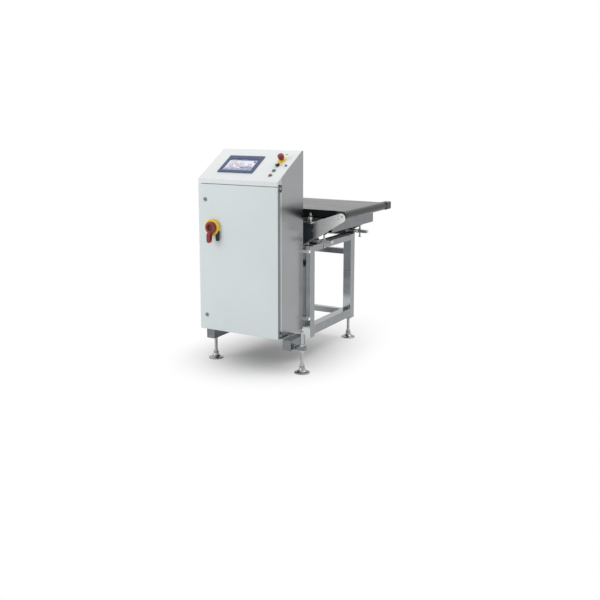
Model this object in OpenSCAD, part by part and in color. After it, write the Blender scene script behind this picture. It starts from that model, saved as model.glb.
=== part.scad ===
// Checkweigher: a control cabinet on two foot arms, bolted to a welded tube stand
// that carries a wide belt conveyor on four bending-beam load cells.
// Millimetres, +Z up, the operator stands at -Y, product travels along X.
// The origin is on the floor, in the middle of the machine's footprint.

/* [Cabinet] */
// Width of the cabinet and its door
cab_w = 600; // [560:5:640]
// Depth from the door's face to the back wall
cab_d = 322; // [310:1:350]
// Height of the cabinet's underside above the floor
cab_bottom = 215; // [210:1:240]
// Height from the underside to the highest edge
cab_h = 1180; // [1140:5:1220]
// Shift of the cabinet to the left of the conveyor's centre
cab_shift = 40; // [20:1:50]
// Thickness of the cabinet's sheet
sheet = 2; // [1.5:0.1:3]
// Flat strip behind the sloped panel
top_flat = 19; // [15:1:30]
// Width of the rim round the door opening
rim_w = 24; // [18:1:30]

/* [Door] */
// Height of the door
door_h = 968; // [930:1:990]
// Depth of the door's folded edge
door_t = 25; // [20:1:28]
// Room between the door's edge and the cabinet's rim
door_gap = 5; // [4:0.5:8]
// Room between the door's lower edge and the foot arms that it swings over
door_lift = 2; // [1:0.5:4]
// Gap between door and operator panel
seam = 4; // [3:0.5:6]
// Outside diameter of a hinge barrel
hinge_d = 10; // [9:0.5:12]
// Length of a whole hinge
hinge_l = 40; // [34:1:60]
// Distance of the lower hinge's centre from the door's lower end
hinge_in = 24; // [22:1:90]
// Diameter of a quarter-turn lock's head
lock_d = 27; // [20:1:30]
// Distance of a lock from the door's left edge
lock_from_left = 53; // [45:1:60]
// Distance of a lock from the door's top or bottom
lock_from_end = 100; // [80:1:140]

/* [Main switch] */
// Distance of the switch from the cabinet's left side
switch_from_left = 114; // [95:1:140]
// Height of the switch above the cabinet's underside
switch_up = 690; // [600:5:720]
// Diameter of the yellow plate
switch_plate_d = 108; // [100:1:114]
// Depth of the yellow plate
switch_plate_t = 24; // [18:1:28]
// Diameter of the red knob
switch_knob_d = 78; // [66:1:80]
// Reach of the red lever from the axis
switch_lever = 98; // [90:1:104]
// Distance of the red knob's face from the door
switch_face = 42; // [38:1:48]
// Distance of the red lever's front from the door
switch_reach = 62; // [56:1:70]
// Diameter of the switch's shaft
shaft_d = 10; // [8:0.5:12]

/* [Operator panel] */
// Height of the vertical strip under the slope
fascia_h = 28; // [22:1:36]
// Width of the display's frame
display_w = 267; // [240:1:300]
// Height of the display's frame along the slope
display_h = 187; // [170:1:200]
// Distance of the display from the panel's left side
display_from_left = 103; // [90:1:120]
// Distance of the display from the panel's bend
display_up = 81; // [70:1:90]
// Distance of the row of controls from the right side
controls_in = 88; // [70:1:95]
// Distance of the reset button from the right side
reset_in = 30; // [26:1:36]
// Height of each control above the bend, along the slope: stop, start, selector, emergency stop, lamp
control_up = [67, 119, 174, 236, 305];
// Height of the reset button above the bend
reset_up = 178; // [160:1:190]
// Diameter of a button's ring
ring_d = 30; // [28:0.5:34]
// Diameter of the emergency stop's mushroom
mushroom_d = 42; // [36:1:44]
// Diameter of the emergency stop's yellow ring
e_ring_d = 60; // [54:1:64]

/* [Stand] */
// Side of the square tube
tube = 60; // [50:1:64]
// Wall of every tube
wall = 3; // [2:0.5:4]
// Width over both legs
stand_w = 608; // [560:2:640]
// Depth over the front and rear legs
stand_d = 674; // [640:2:700]
// Height of the top of the legs
stand_top = 772; // [760:1:774]
// Height of the underside of legs and arms above the floor
foot_rise = 150; // [130:1:165]
// Room between the cabinet and the legs
back_gap = 22; // [18:1:26]
// Height of the upper side rail
upper_rail_h = 40; // [36:1:50]
// Side of the cross tubes
cross = 40; // [36:1:46]
// Height of the lower rails above the legs' underside
lower_up = 15; // [12:1:30]
// Drop of the upper cross tubes below the legs' top
cross_drop = 110; // [100:1:140]

/* [Feet] */
// Diameter of a foot's base
foot_d = 100; // [90:1:110]
// Height of a foot's base with its neck
foot_h = 46; // [40:1:56]
// Diameter of a foot's spindle
spindle_d = 20; // [18:1:24]
// Distance of the arms' front ends behind the door's face
arm_front = 17; // [12:1:30]
// Length of an arm
arm_l = 183; // [170:1:200]
// Distance of the front feet behind the door's face
foot_front = 77; // [70:1:85]
// Offset of the right arm's centre from the leg's centre
arm_out = 39; // [30:1:45]
// Distance of the outboard foot from its arm's centre
lug_reach = 78; // [70:1:90]

/* [Weighing] */
// Length of a load cell
cell_l = 168; // [150:1:180]
// Width of a load cell
cell_w = 30; // [26:1:36]
// Height of a load cell
cell_h = 20; // [18:1:24]
// Height of the spacer under a load cell
spacer_h = 12; // [10:1:16]
// Distance of the load screw from the leg's centre line
load_x = 78; // [72:1:88]
// Diameter of the load screw
load_screw_d = 12; // [10:1:14]
// Height of the end beams' underside
beam_z = 860; // [856:1:870]
// Height of the end beams
beam_h = 84; // [70:1:86]
// Width of the end beams
beam_w = 100; // [90:1:110]
// Distance of the end beams' outer faces from the conveyor's centre
beam_out = 422; // [410:1:430]

/* [Conveyor] */
// Length over the belt
belt_l = 1054; // [1020:2:1080]
// Width of the belt
belt_w = 620; // [600:2:640]
// Height of the belt's carrying face
belt_top = 1005; // [1003:1:1020]
// Thickness of the belt
belt_t = 2.5; // [2:0.1:3]
// Diameter of the end drums
drum_d = 50; // [48:0.5:52]
// Distance of the belt's near edge behind the cabinet
belt_back = 113; // [108:1:125]
// Thickness of the side plates
plate_t = 4; // [3:0.5:5]
// Thickness of the bearing blocks
block_t = 14; // [12:0.5:16]
// Reach of the drum motor's head beyond the far side plate
head_l = 75; // [60:1:90]
// Diameter of the drums' axles
axle_d = 17; // [15:0.5:20]

/* [Hidden] */
$fn = 64;

// Radial clearance of a turning shaft in its hole
run = 0.05;
// Air between parts that pass each other
air = 0.5;
// Overrun of every cut
eps = 1;

// Cabinet and door, with Y counted from the door's face
cab_x0 = -cab_w / 2 - cab_shift;
cab_x1 = cab_x0 + cab_w;
cab_top = cab_bottom + cab_h;
door_top = cab_bottom + door_h;
lid_bottom = door_top + seam;
bend_z = lid_bottom + fascia_h;
rim_y = door_t + door_gap;
slope_run = cab_d - top_flat;
slope_rise = cab_top - bend_z;
slope_a = atan(slope_rise / slope_run);
lip = 12;
seal_w = 10;
seal_in = 8;
lock_x = cab_x0 + lock_from_left;
lock_zs = [cab_bottom + lock_from_end, door_top - lock_from_end];
lock_core_d = 14;
lock_lip = 4;
cam_l = 42;
cam_w = 14;
cam_t = 3;
cam_air = 2;
hinge_x = cab_x1 + hinge_d / 2 + air;
hinge_y = door_t + door_gap / 2;
hinge_zs = [cab_bottom + hinge_in, door_top - hinge_l * 0.22];
hinge_leaf_t = 2.5;
hinge_leaf_w = 18;
hinge_pin_d = 5;
hinge_head_h = 3;
knuckle_l = hinge_l * 0.3;

// Main switch
switch_x = cab_x0 + switch_from_left;
switch_z = cab_bottom + switch_up;
switch_rim = 4;
switch_boss_d = 22;
lever_w = 26;
recess_d = 44;
recess_depth = 10;
boss_end = door_t * 0.5;
coupling_d = 26;
coupling_t = 8;
switch_body = [76, 58, 84];
hasp_w = 24;
hasp_t = 10;
hasp_x = switch_x + switch_plate_d * 0.37;
hasp_y = -switch_plate_t * 0.54;
hasp_high = switch_z - switch_plate_d * 0.2;
hasp_low = switch_z - switch_plate_d * 0.8;

// Operator panel, measured up the slope from its bend
bezel_t = 6;
bezel_side = 26;
bezel_low = 24;
bezel_high = 34;
screen_sink = 2.5;
screen_t = 3;
housing_in = 14;
housing_depth = 50;
display_x = cab_x0 + display_from_left + display_w / 2;
control_x = cab_x1 - controls_in;
reset_x = cab_x1 - reset_in;
button_d = ring_d * 0.73;
ring_h = 4;
button_rise = 7;
button_sink = 7;
collar_t = 3;
collar_l = 14;
contact_body = [30, 42, 40];
small_share = 0.7;
e_neck_h = 9;
e_stem_d = 24;
e_neck_d = 36;
mushroom_h = 31;
mushroom_gap = 6;
lamp_d = 12;
lamp_rise = 5;
knob_h = 10;
grip_w = 8;
grip_h = 6;
grip_turn = 45;

// Inside the cabinet
plate_in = 40;
standoff_l = 24;
standoff_d = 14;
back_plate_t = 3;
back_y = cab_d - sheet - standoff_l;
plate_y = back_y - back_plate_t;
rail = [460, 7.5, 35];
rail_t = 1.2;
rail_zs = [cab_bottom + door_h * 0.155, cab_bottom + door_h * 0.485, switch_z];
duct = [40, 60];
duct_t = 2;
duct_slots = 17;
duct_slot = 7;
duct_zs = [cab_bottom + door_h * 0.06, cab_bottom + door_h * 0.335, cab_bottom + door_h * 0.6];
device_y = plate_y - rail[1];
supply_size = [85, 112, 124];
drive_size = [95, 130, 190];
logic_size = [170, 62, 128];
terminal_size = [8, 46, 52];
terminals = 30;
device_gap = 15;
supply_x = cab_x0 + cab_w * 0.15;
drive_x = supply_x + supply_size[0] + device_gap;
logic_x = drive_x + drive_size[0] + device_gap;
gland_bore_d = 14;
gland_d = 26;
gland_l = 18;
gland_flange = 6;
gland_step = 50;
gland_xs = [for (i = [3:5]) cab_x0 + i * gland_step];
gland_from_back = 70;
gland_y = cab_d - gland_from_back;
gland_hex_d = 36;
locknut_d = 34;

// Stand
leg_x = stand_w / 2 - tube / 2;
stand_y = cab_d + back_gap;
near_y = stand_y + tube / 2;
far_y = stand_y + stand_d - tube / 2;
plug_t = 14;
lower_z = foot_rise + lower_up;
bar_h = 18;
bar_up = 69;
bar_drop = 34;
bar_zs = [cab_bottom + bar_up, stand_top - bar_drop];
cross_up = 5;
cross_low_z = lower_z + cross_up;

// Feet
right_arm_x = leg_x + arm_out;
right_foot_x = right_arm_x + lug_reach;
beam_under_h = 35;
lug_h = 24;
lug_w = 38;
lug_tip = 22;
rim_h = 8;
neck_d = 34;
neck_z = 34;
socket_l = 20;
collar_h = 10;
hex_d = 34;
nut_h = 12;
spindle_in = 60;
spindle_over = 98;
foot_places = [[-leg_x, foot_front], [right_foot_x, foot_front], [-leg_x, far_y], [leg_x, far_y]];

// Load cells
cell_x0 = leg_x - tube / 2;
cell_near_in = 42;
cell_far_in = 18;
cell_near_y = stand_y + tube + cell_near_in;
cell_far_y = stand_y + stand_d - cell_far_in;
cell_ys = [cell_near_y, cell_far_y];
cell_z = stand_top + spacer_h;
cell_hole_d = 12;
cell_hole_gap = 18;
cap_h = 9;
strip_h = 10;
strip_w = 44;
pad_d = 36;
pad_h = 18;
load_nut_h = 8;
load_nut_d = 22;
load_drop = 32;
load_knob_d = 22;
load_knob_h = 8;

// Conveyor, with drums under a loop of belt
belt_y0 = cab_d + belt_back;
belt_y1 = belt_y0 + belt_w;
belt_lift = 0.3;
loop_r = drum_d / 2 + belt_lift + belt_t;
drum_x = belt_l / 2 - loop_r;
drum_z = belt_top - loop_r;
block_air = 2;
near_plate_y = belt_y0 - block_air - block_t - plate_t;
far_plate_y = belt_y1 + block_air + block_t;
drum_inset = 4;
drum_wall = 4;
bearing_w = 14;
block_r = loop_r - belt_t / 2;
block_tail = 44;
axle_inset = 2;
head_corner = 9;
head_screw_r = block_r * 0.95;
head_screw_d = 6;

// Outline of a side plate, as places across and up from the floor
end_r = 30;
end_in = 10.2;
end_drop = 15.2;
end_c = [drum_x - end_in, drum_z - end_drop];
far_end_r = 23;
far_end_c = [drum_x, drum_z];
far_heel = [beam_out, beam_z + beam_h];
shoulder_drop = 81;
shoulder = [drum_x * 0.573, belt_top - shoulder_drop];
heel_in = 75;
heel_drop = 118;
heel = [drum_x - heel_in, belt_top - heel_drop];
knee_drop = 22;
knee = [drum_x * 0.701, beam_z - knee_drop];
ankle_up = 31;
ankle = [shoulder[0], stand_top + ankle_up];
toe_drop = 27;
toe = [drum_x * 0.407, stand_top - toe_drop];
window_rim = 12;
flange_w = 22;
cover_t = 1.5;
cover_lap = 6;
stud_in = 15;
stud_x = shoulder[0] - stud_in;
stud_d = 10;
stud_nut_d = 18;
stud_nut_h = 8;
buffer_d = 30;
buffer_h = 22;
tab_w = 30;
tab_t = 6;
tab_drop = 45;
tab_z = belt_top - tab_drop;
stud_drop = 21;
stud_tip = belt_top - stud_drop;
bed_t = 3;
bed_in = 5;
bed_skirt = 44;
bed_ribs = 4;

// The machine's middle from front to back
front_y = -switch_reach;
rear_y = far_plate_y + plate_t + head_l;
mid_y = (front_y + rear_y) / 2;

// Colours
steel = [0.72, 0.74, 0.75];
white_grey = [0.83, 0.87, 0.88];
lid_grey = [0.90, 0.92, 0.92];
dark = [0.12, 0.13, 0.14];
black = [0.06, 0.06, 0.07];
blue = [0.22, 0.30, 0.56];
red = [0.72, 0.12, 0.10];
yellow = [0.95, 0.78, 0.15];
green = [0.15, 0.45, 0.22];
zinc = [0.80, 0.80, 0.78];

// A square with round corners, round the origin
module soft_square(side, r) {
  square([side, side - 2 * r], center = true);
  square([side - 2 * r, side], center = true);
  for (x = [-1, 1], y = [-1, 1]) translate([x, y] * (side / 2 - r)) circle(r = r);
}

// Moves the door's face from Y 0 to its place round the machine's middle
module machine() {
  translate([0, -mid_y, 0]) children();
}

// A box between two corners
module block(low, high) {
  translate(low) cube(high - low);
}

// A drawing of Y and Z, drawn out along X
module along_x(x0, x1) {
  translate([x0, 0, 0]) rotate([90, 0, 90]) linear_extrude(x1 - x0) children();
}

// A drawing of X and Z, drawn out along Y
module along_y(y0, y1) {
  translate([0, y1, 0]) rotate([90, 0, 0]) linear_extrude(y1 - y0) children();
}

// A round bar along Y
module rod_y(x, z, y0, y1, d) {
  translate([x, y1, z]) rotate([90, 0, 0]) cylinder(h = y1 - y0, d = d);
}

// A round bar along Z
module rod_z(x, y, z0, z1, d) {
  translate([x, y, z0]) cylinder(h = z1 - z0, d = d);
}

// A hexagon nut with a round hole
module nut(x, y, z, h, d, hole) {
  translate([x, y, z]) difference() {
    cylinder(h = h, d = d, $fn = 6);
    translate([0, 0, -eps]) cylinder(h = h + 2 * eps, d = hole);
  }
}

// A rectangular tube between two corners, open at the ends along one axis
module box_tube(low, high, axis, t) {
  inner = [for (i = [0:2]) i == axis ? -eps : t];
  difference() {
    block(low, high);
    block(low + inner, high - inner);
  }
}

// Places children on the slope: X across, Y up the slope, Z out of it
module on_slope(x, up) {
  translate([x, 0, bend_z]) rotate([slope_a, 0, 0]) translate([0, up, 0]) children();
}

// The roof's line from the strip's foot to the back, moved inwards
function roof(i) = [
  [i, lid_bottom],
  [i, bend_z + i * tan(slope_a) - i / cos(slope_a)],
  [(slope_rise - i + i / cos(slope_a)) / tan(slope_a), cab_top - i],
  [cab_d, cab_top - i]
];
function reversed(list) = [for (i = [len(list) - 1:-1:0]) list[i]];

// Mirrors children to both sides of the conveyor
module both_sides() {
  children();
  mirror([1, 0, 0]) children();
}

// Cabinet

module cabinet_sides() {
  wall_line = concat(
    [[cab_d, cab_bottom], [rim_y, cab_bottom], [rim_y, lid_bottom]],
    roof(sheet)
  );
  color(steel) machine() {
    along_x(cab_x0, cab_x0 + sheet) polygon(wall_line);
    along_x(cab_x1 - sheet, cab_x1) polygon(wall_line);
  }
}

module cabinet_back() {
  color(steel) machine() block(
    [cab_x0 + sheet, cab_d - sheet, cab_bottom + sheet],
    [cab_x1 - sheet, cab_d, cab_top - sheet]
  );
}

module cabinet_floor() {
  color(steel) machine() difference() {
    block([cab_x0 + sheet, rim_y, cab_bottom], [cab_x1 - sheet, cab_d, cab_bottom + sheet]);
    for (x = gland_xs) rod_z(x, gland_y, cab_bottom - eps, cab_bottom + sheet + eps, gland_d);
  }
}

// The flange that the door closes on
module door_rim() {
  color(steel) machine() difference() {
    block(
      [cab_x0 + sheet, rim_y, cab_bottom + sheet],
      [cab_x1 - sheet, rim_y + sheet, lid_bottom + sheet]
    );
    block(
      [cab_x0 + rim_w, rim_y - eps, cab_bottom + rim_w],
      [cab_x1 - rim_w, rim_y + sheet + eps, door_top - rim_w]
    );
  }
}

// The cabinet's halves of the hinges, each a leaf with two knuckles and the pin
module fixed_hinges() {
  color(zinc) machine() for (z = hinge_zs) {
    for (end = [-1, 1]) {
      low = z + end * (hinge_l - knuckle_l) / 2 - knuckle_l / 2;
      rod_z(hinge_x, hinge_y, low, low + knuckle_l, hinge_d);
      block([cab_x1, hinge_y, low], [cab_x1 + hinge_leaf_t, rim_y + hinge_leaf_w, low + knuckle_l]);
    }
    block(
      [cab_x1, hinge_y + hinge_d / 2 + air, z - hinge_l / 2],
      [cab_x1 + hinge_leaf_t, rim_y + hinge_leaf_w, z + hinge_l / 2]
    );
    rod_z(hinge_x, hinge_y, z - hinge_l / 2, z + hinge_l / 2, hinge_pin_d);
    rod_z(hinge_x, hinge_y, z + hinge_l / 2, z + hinge_l / 2 + hinge_head_h, hinge_d * 0.8);
    rod_z(hinge_x, hinge_y, z - hinge_l / 2 - hinge_head_h, z - hinge_l / 2, hinge_d * 0.8);
  }
}

module operator_panel() {
  color(lid_grey) machine() difference() {
    union() {
      along_x(cab_x0, cab_x1) polygon(concat(roof(0), reversed(roof(sheet))));
      block([cab_x0 + sheet, 0, lid_bottom], [cab_x1 - sheet, rim_y, lid_bottom + sheet]);
    }
    on_slope(display_x, display_up + display_h / 2) display_cut(0);
    for (i = [0:2]) on_slope(control_x, control_up[i]) round_cut(button_d + 2 * air);
    on_slope(control_x, control_up[3]) round_cut(e_stem_d + 2 * air);
    on_slope(control_x, control_up[4]) round_cut(lamp_d);
    on_slope(reset_x, reset_up) round_cut(button_d * small_share + 2 * air);
  }
}

// A round hole through the sloped sheet
module round_cut(d) {
  translate([0, 0, -sheet - eps]) cylinder(h = sheet + 2 * eps, d = d);
}

// The rectangular hole for the display's housing
module display_cut(gap) {
  w = display_w - 2 * housing_in - 2 * gap;
  h = display_h - 2 * housing_in - 2 * gap;
  translate([-w / 2, -h / 2, -sheet - eps]) cube([w, h, sheet + 2 * eps]);
}

module display_bezel() {
  color(blue) machine() on_slope(display_x, display_up) difference() {
    translate([-display_w / 2, 0, 0]) cube([display_w, display_h, bezel_t]);
    translate([-display_w / 2 + bezel_side, bezel_low, -eps])
      cube([display_w - 2 * bezel_side, display_h - bezel_low - bezel_high, bezel_t + 2 * eps]);
  }
}

module display_screen() {
  color([0.80, 0.84, 0.90]) machine() on_slope(display_x, display_up)
    translate([-display_w / 2 + bezel_side, bezel_low, bezel_t - screen_sink - screen_t])
      cube([display_w - 2 * bezel_side, display_h - bezel_low - bezel_high, screen_t]);
}

// A raised ring round a control
module ring(d, h, hole) {
  difference() {
    cylinder(h = h, d1 = d, d2 = d - h);
    translate([0, 0, -eps]) cylinder(h = h + 2 * eps, d = hole);
  }
}

module control_rings() {
  color(zinc) machine() {
    for (i = [0:2]) on_slope(control_x, control_up[i]) ring(ring_d, ring_h, button_d + 2 * run);
    on_slope(control_x, control_up[4]) ring(lamp_d + ring_h, ring_h / 2, lamp_d);
    on_slope(reset_x, reset_up) ring(ring_d * small_share, ring_h, button_d * small_share + 2 * run);
  }
}

module e_stop_ring() {
  color(yellow) machine() on_slope(control_x, control_up[3]) difference() {
    union() {
      cylinder(h = ring_h, d = e_ring_d);
      cylinder(h = e_neck_h, d = e_neck_d);
    }
    translate([0, 0, -eps]) cylinder(h = e_neck_h + 2 * eps, d = e_stem_d + 2 * run);
  }
}

// The block behind a control, hung from the sheet by its collar
module contact_block(d) {
  difference() {
    translate([0, 0, -sheet - collar_l]) cylinder(h = collar_l, d = d + 2 * collar_t + 2 * air);
    translate([0, 0, -sheet - collar_l - eps]) cylinder(h = collar_l + 2 * eps, d = d + 2 * air);
  }
  translate([-contact_body[0] / 2, -contact_body[1] / 2, -sheet - collar_l - contact_body[2]])
    cube(contact_body);
}

// What stands behind the sloped panel: the display's housing and a contact block for each control
module panel_housings() {
  w = display_w - 2 * housing_in - 2 * air;
  h = display_h - 2 * housing_in - 2 * air;
  color(dark) machine() {
    on_slope(display_x, display_up + display_h / 2)
      translate([-w / 2, -h / 2, -housing_depth]) cube([w, h, housing_depth]);
    for (i = [0:2]) on_slope(control_x, control_up[i]) contact_block(button_d);
    on_slope(control_x, control_up[3]) contact_block(e_stem_d);
    on_slope(reset_x, reset_up) translate([0, 0, small_share * sheet - sheet])
      scale(small_share) contact_block(button_d);
  }
}

module signal_lamp() {
  color([0.70, 0.90, 0.75]) machine() on_slope(control_x, control_up[4]) {
    translate([0, 0, -collar_l]) cylinder(h = collar_l + lamp_rise / 2, d = lamp_d);
    translate([0, 0, lamp_rise / 2]) cylinder(h = lamp_rise / 2, d1 = lamp_d, d2 = lamp_d / 2);
  }
}

module e_stop_head() {
  color(red) machine() on_slope(control_x, control_up[3]) {
    translate([0, 0, -button_sink]) cylinder(h = button_sink + e_neck_h + mushroom_gap, d = e_stem_d);
    translate([0, 0, e_neck_h + mushroom_gap]) rotate_extrude() polygon([
      [0, 0],
      [mushroom_d * 0.38, 0],
      [mushroom_d * 0.46, mushroom_h * 0.1],
      [mushroom_d / 2, mushroom_h * 0.3],
      [mushroom_d / 2, mushroom_h * 0.72],
      [mushroom_d * 0.46, mushroom_h * 0.9],
      [mushroom_d * 0.36, mushroom_h * 0.98],
      [mushroom_d * 0.28, mushroom_h],
      [mushroom_d * 0.24, mushroom_h * 0.93],
      [0, mushroom_h * 0.93]
    ]);
  }
}

// A round button in its ring, with a flat face
module push_button(d, rise) {
  translate([0, 0, -button_sink]) cylinder(h = button_sink + rise - eps, d = d);
  translate([0, 0, rise - eps]) cylinder(h = eps, d1 = d, d2 = d - 2 * eps);
}

module stop_button() {
  color(red) machine() on_slope(control_x, control_up[0]) push_button(button_d, button_rise);
}

module start_button() {
  color(green) machine() on_slope(control_x, control_up[1]) push_button(button_d, button_rise);
}

module reset_button() {
  color(blue) machine() on_slope(reset_x, reset_up) push_button(button_d * small_share, button_rise);
}

module selector_knob() {
  color(black) machine() on_slope(control_x, control_up[2]) {
    translate([0, 0, -button_sink]) cylinder(h = button_sink + ring_h + air, d = button_d);
    translate([0, 0, ring_h + air]) cylinder(h = knob_h / 2, d1 = button_d * 1.1, d2 = button_d * 0.9);
    rotate([0, 0, -grip_turn]) translate([-grip_w / 2, -ring_d * 0.46, ring_h + air])
      cube([grip_w, ring_d * 0.92, knob_h / 2 + grip_h]);
  }
}

// Inside the cabinet

module mounting_plate() {
  x0 = cab_x0 + plate_in;
  x1 = cab_x1 - plate_in;
  z0 = cab_bottom + plate_in;
  z1 = door_top - plate_in;
  color(zinc) machine() {
    block([x0, plate_y, z0], [x1, back_y, z1]);
    for (x = [x0 + plate_in, x1 - plate_in], z = [z0 + plate_in, (z0 + z1) / 2, z1 - plate_in])
      rod_y(x, z, back_y, cab_d - sheet, standoff_d);
  }
}

// A top-hat rail, drawn from its end
module hat_rail(z) {
  h = rail[2];
  d = rail[1];
  brim = h * 0.14;
  x = (cab_x0 + cab_x1) / 2;
  translate([0, plate_y, z]) along_x(x - rail[0] / 2, x + rail[0] / 2) polygon([
    [0, -h / 2 + brim],
    [0, h / 2 - brim],
    [rail_t - d, h / 2 - brim],
    [rail_t - d, h / 2],
    [-d, h / 2],
    [-d, h / 2 - brim - rail_t],
    [-rail_t, h / 2 - brim - rail_t],
    [-rail_t, -h / 2 + brim + rail_t],
    [-d, -h / 2 + brim + rail_t],
    [-d, -h / 2],
    [rail_t - d, -h / 2],
    [rail_t - d, -h / 2 + brim]
  ]);
}

module din_rails() {
  color(zinc) machine() for (z = rail_zs) hat_rail(z);
}

// A slotted duct with its cover
module wire_duct(z) {
  x = (cab_x0 + cab_x1) / 2;
  x0 = x - rail[0] / 2;
  pitch = rail[0] / duct_slots;
  difference() {
    block([x0, plate_y - duct[1], z], [x0 + rail[0], plate_y, z + duct[0]]);
    block(
      [x0 - eps, plate_y - duct[1] + duct_t, z + duct_t],
      [x0 + rail[0] + eps, plate_y - duct_t, z + duct[0] - duct_t]
    );
    for (i = [0:duct_slots - 1])
      block(
        [x0 + (i + 0.5) * pitch - duct_slot / 2, plate_y - duct[1] * 0.85, z - eps],
        [x0 + (i + 0.5) * pitch + duct_slot / 2, plate_y - duct[1] * 0.3, z + duct[0] + eps]
      );
  }
}

module cable_ducts() {
  color([0.62, 0.64, 0.66]) machine() for (z = duct_zs) wire_duct(z);
}

// A device with a stepped face, clipped to a rail
module device(x, z, size, step) {
  block([x, device_y - size[1] * (1 - step), z - size[2] / 2], [x + size[0], device_y, z + size[2] / 2]);
  block([x, device_y - size[1], z - size[2] * 0.34], [x + size[0], device_y, z + size[2] * 0.34]);
}

module power_supply() {
  color([0.55, 0.57, 0.60]) machine() device(supply_x, rail_zs[1], supply_size, 0.12);
}

module motor_drive() {
  color(dark) machine() device(drive_x, rail_zs[1], drive_size, 0.15);
}

module weigh_controller() {
  color([0.80, 0.82, 0.80]) machine() device(logic_x, rail_zs[1], logic_size, 0.3);
}

module terminal_blocks() {
  x0 = (cab_x0 + cab_x1) / 2 - terminals * terminal_size[0] / 2;
  color([0.75, 0.76, 0.74]) machine() {
    block(
      [x0, device_y - terminal_size[1] * 0.6, rail_zs[0] - terminal_size[2] / 2],
      [x0 + terminals * terminal_size[0], device_y, rail_zs[0] + terminal_size[2] / 2]
    );
    for (i = [0:terminals - 1])
      block(
        [x0 + i * terminal_size[0] + air, device_y - terminal_size[1], rail_zs[0] - terminal_size[2] * 0.3],
        [x0 + (i + 1) * terminal_size[0] - air, device_y, rail_zs[0] + terminal_size[2] * 0.3]
      );
  }
}

module main_switch_body() {
  size = switch_body;
  color([0.30, 0.31, 0.33]) machine() difference() {
    union() {
      block(
        [switch_x - size[0] / 2, device_y - size[1], switch_z - size[2] / 2],
        [switch_x + size[0] / 2, device_y, switch_z + size[2] / 2]
      );
      rod_y(switch_x, switch_z, device_y - size[1] - coupling_t, device_y - size[1], coupling_d);
    }
    rod_y(switch_x, switch_z, 0, device_y - size[1] / 2, shaft_d + 2 * run);
  }
}

module cable_glands() {
  color(zinc) machine() for (x = gland_xs) translate([x, gland_y, 0]) difference() {
    union() {
      rod_z(0, 0, cab_bottom - gland_flange - gland_l, cab_bottom + gland_flange, gland_d);
      translate([0, 0, cab_bottom - gland_flange]) cylinder(h = gland_flange, d = gland_hex_d, $fn = 6);
      translate([0, 0, cab_bottom + sheet]) cylinder(h = gland_flange, d = locknut_d, $fn = 6);
    }
    rod_z(0, 0, cab_bottom - gland_flange - gland_l - eps, cab_bottom + 2 * gland_flange, gland_bore_d);
  }
}

// Door, drawn closed

module door() {
  x0 = cab_x0 + sheet;
  x1 = cab_x1 - sheet;
  low = cab_bottom + door_lift;
  z0 = low + sheet;
  z1 = door_top - sheet;
  color(white_grey) machine() {
    difference() {
      block([cab_x0, 0, low], [cab_x1, door_t, door_top]);
      block([x0, sheet, z0], [x1, door_t - sheet, z1]);
      block([x0 + lip, sheet, z0 + lip], [x1 - lip, door_t + eps, z1 - lip]);
      rod_y(switch_x, switch_z, -eps, 2 * sheet, switch_boss_d + 2 * air);
      for (z = lock_zs) rod_y(lock_x, z, -eps, 2 * sheet, lock_core_d + 2 * air);
    }
    for (z = hinge_zs) door_hinge(z);
  }
}

// The door's half of a hinge: a leaf on its edge and the middle knuckle
module door_hinge(z) {
  half = hinge_l / 2 - knuckle_l - air;
  difference() {
    union() {
      rod_z(hinge_x, hinge_y, z - half, z + half, hinge_d);
      block([cab_x1, door_t - hinge_leaf_w, z - half], [cab_x1 + hinge_leaf_t, hinge_y, z + half]);
    }
    rod_z(hinge_x, hinge_y, z - hinge_l, z + hinge_l, hinge_pin_d + 2 * run);
  }
}

module door_seal() {
  x0 = cab_x0 + seal_in;
  x1 = cab_x1 - seal_in;
  z0 = cab_bottom + seal_in;
  z1 = door_top - seal_in;
  color(black) machine() difference() {
    block([x0, door_t, z0], [x1, rim_y - air, z1]);
    block([x0 + seal_w, door_t - eps, z0 + seal_w], [x1 - seal_w, rim_y + eps, z1 - seal_w]);
  }
}

// A turned piece in front of the door, with heights counted out from the door's face
module turned_y(x, z, profile) {
  translate([x, 0, z]) rotate([90, 0, 0]) rotate_extrude() polygon(profile);
}

module switch_plate() {
  bore = switch_boss_d / 2 + run;
  r = switch_plate_d / 2;
  color(yellow) machine() difference() {
    turned_y(switch_x, switch_z, [
      [bore, 0],
      [r, 0],
      [r, switch_plate_t - switch_rim],
      [r - switch_rim, switch_plate_t],
      [bore, switch_plate_t]
    ]);
    tongue(air / 2);
  }
}

// The tongue that takes a padlock, wider by a gap where it makes its slot
module tongue(gap) {
  half = hasp_w / 2 + gap;
  along_y(hasp_y - hasp_t / 2 - gap, hasp_y + hasp_t / 2 + gap) polygon([
    [hasp_x - half, hasp_high + gap],
    [hasp_x - half, hasp_low + hasp_w],
    [hasp_x - half * 0.75, hasp_low],
    [hasp_x + half * 0.75, hasp_low],
    [hasp_x + half, hasp_low + hasp_w],
    [hasp_x + half, hasp_high + gap]
  ]);
}

module padlock_hasp() {
  color(black) machine() difference() {
    tongue(0);
    rod_y(hasp_x, hasp_low + hasp_w * 0.5, hasp_y - hasp_t, hasp_y + hasp_t, hasp_w * 0.35);
  }
}

module lock_housings() {
  color(zinc) machine() for (z = lock_zs) difference() {
    rod_y(lock_x, z, -lock_lip, 0, lock_d);
    rod_y(lock_x, z, -lock_lip - eps, eps, lock_core_d + 2 * run);
  }
}

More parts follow.
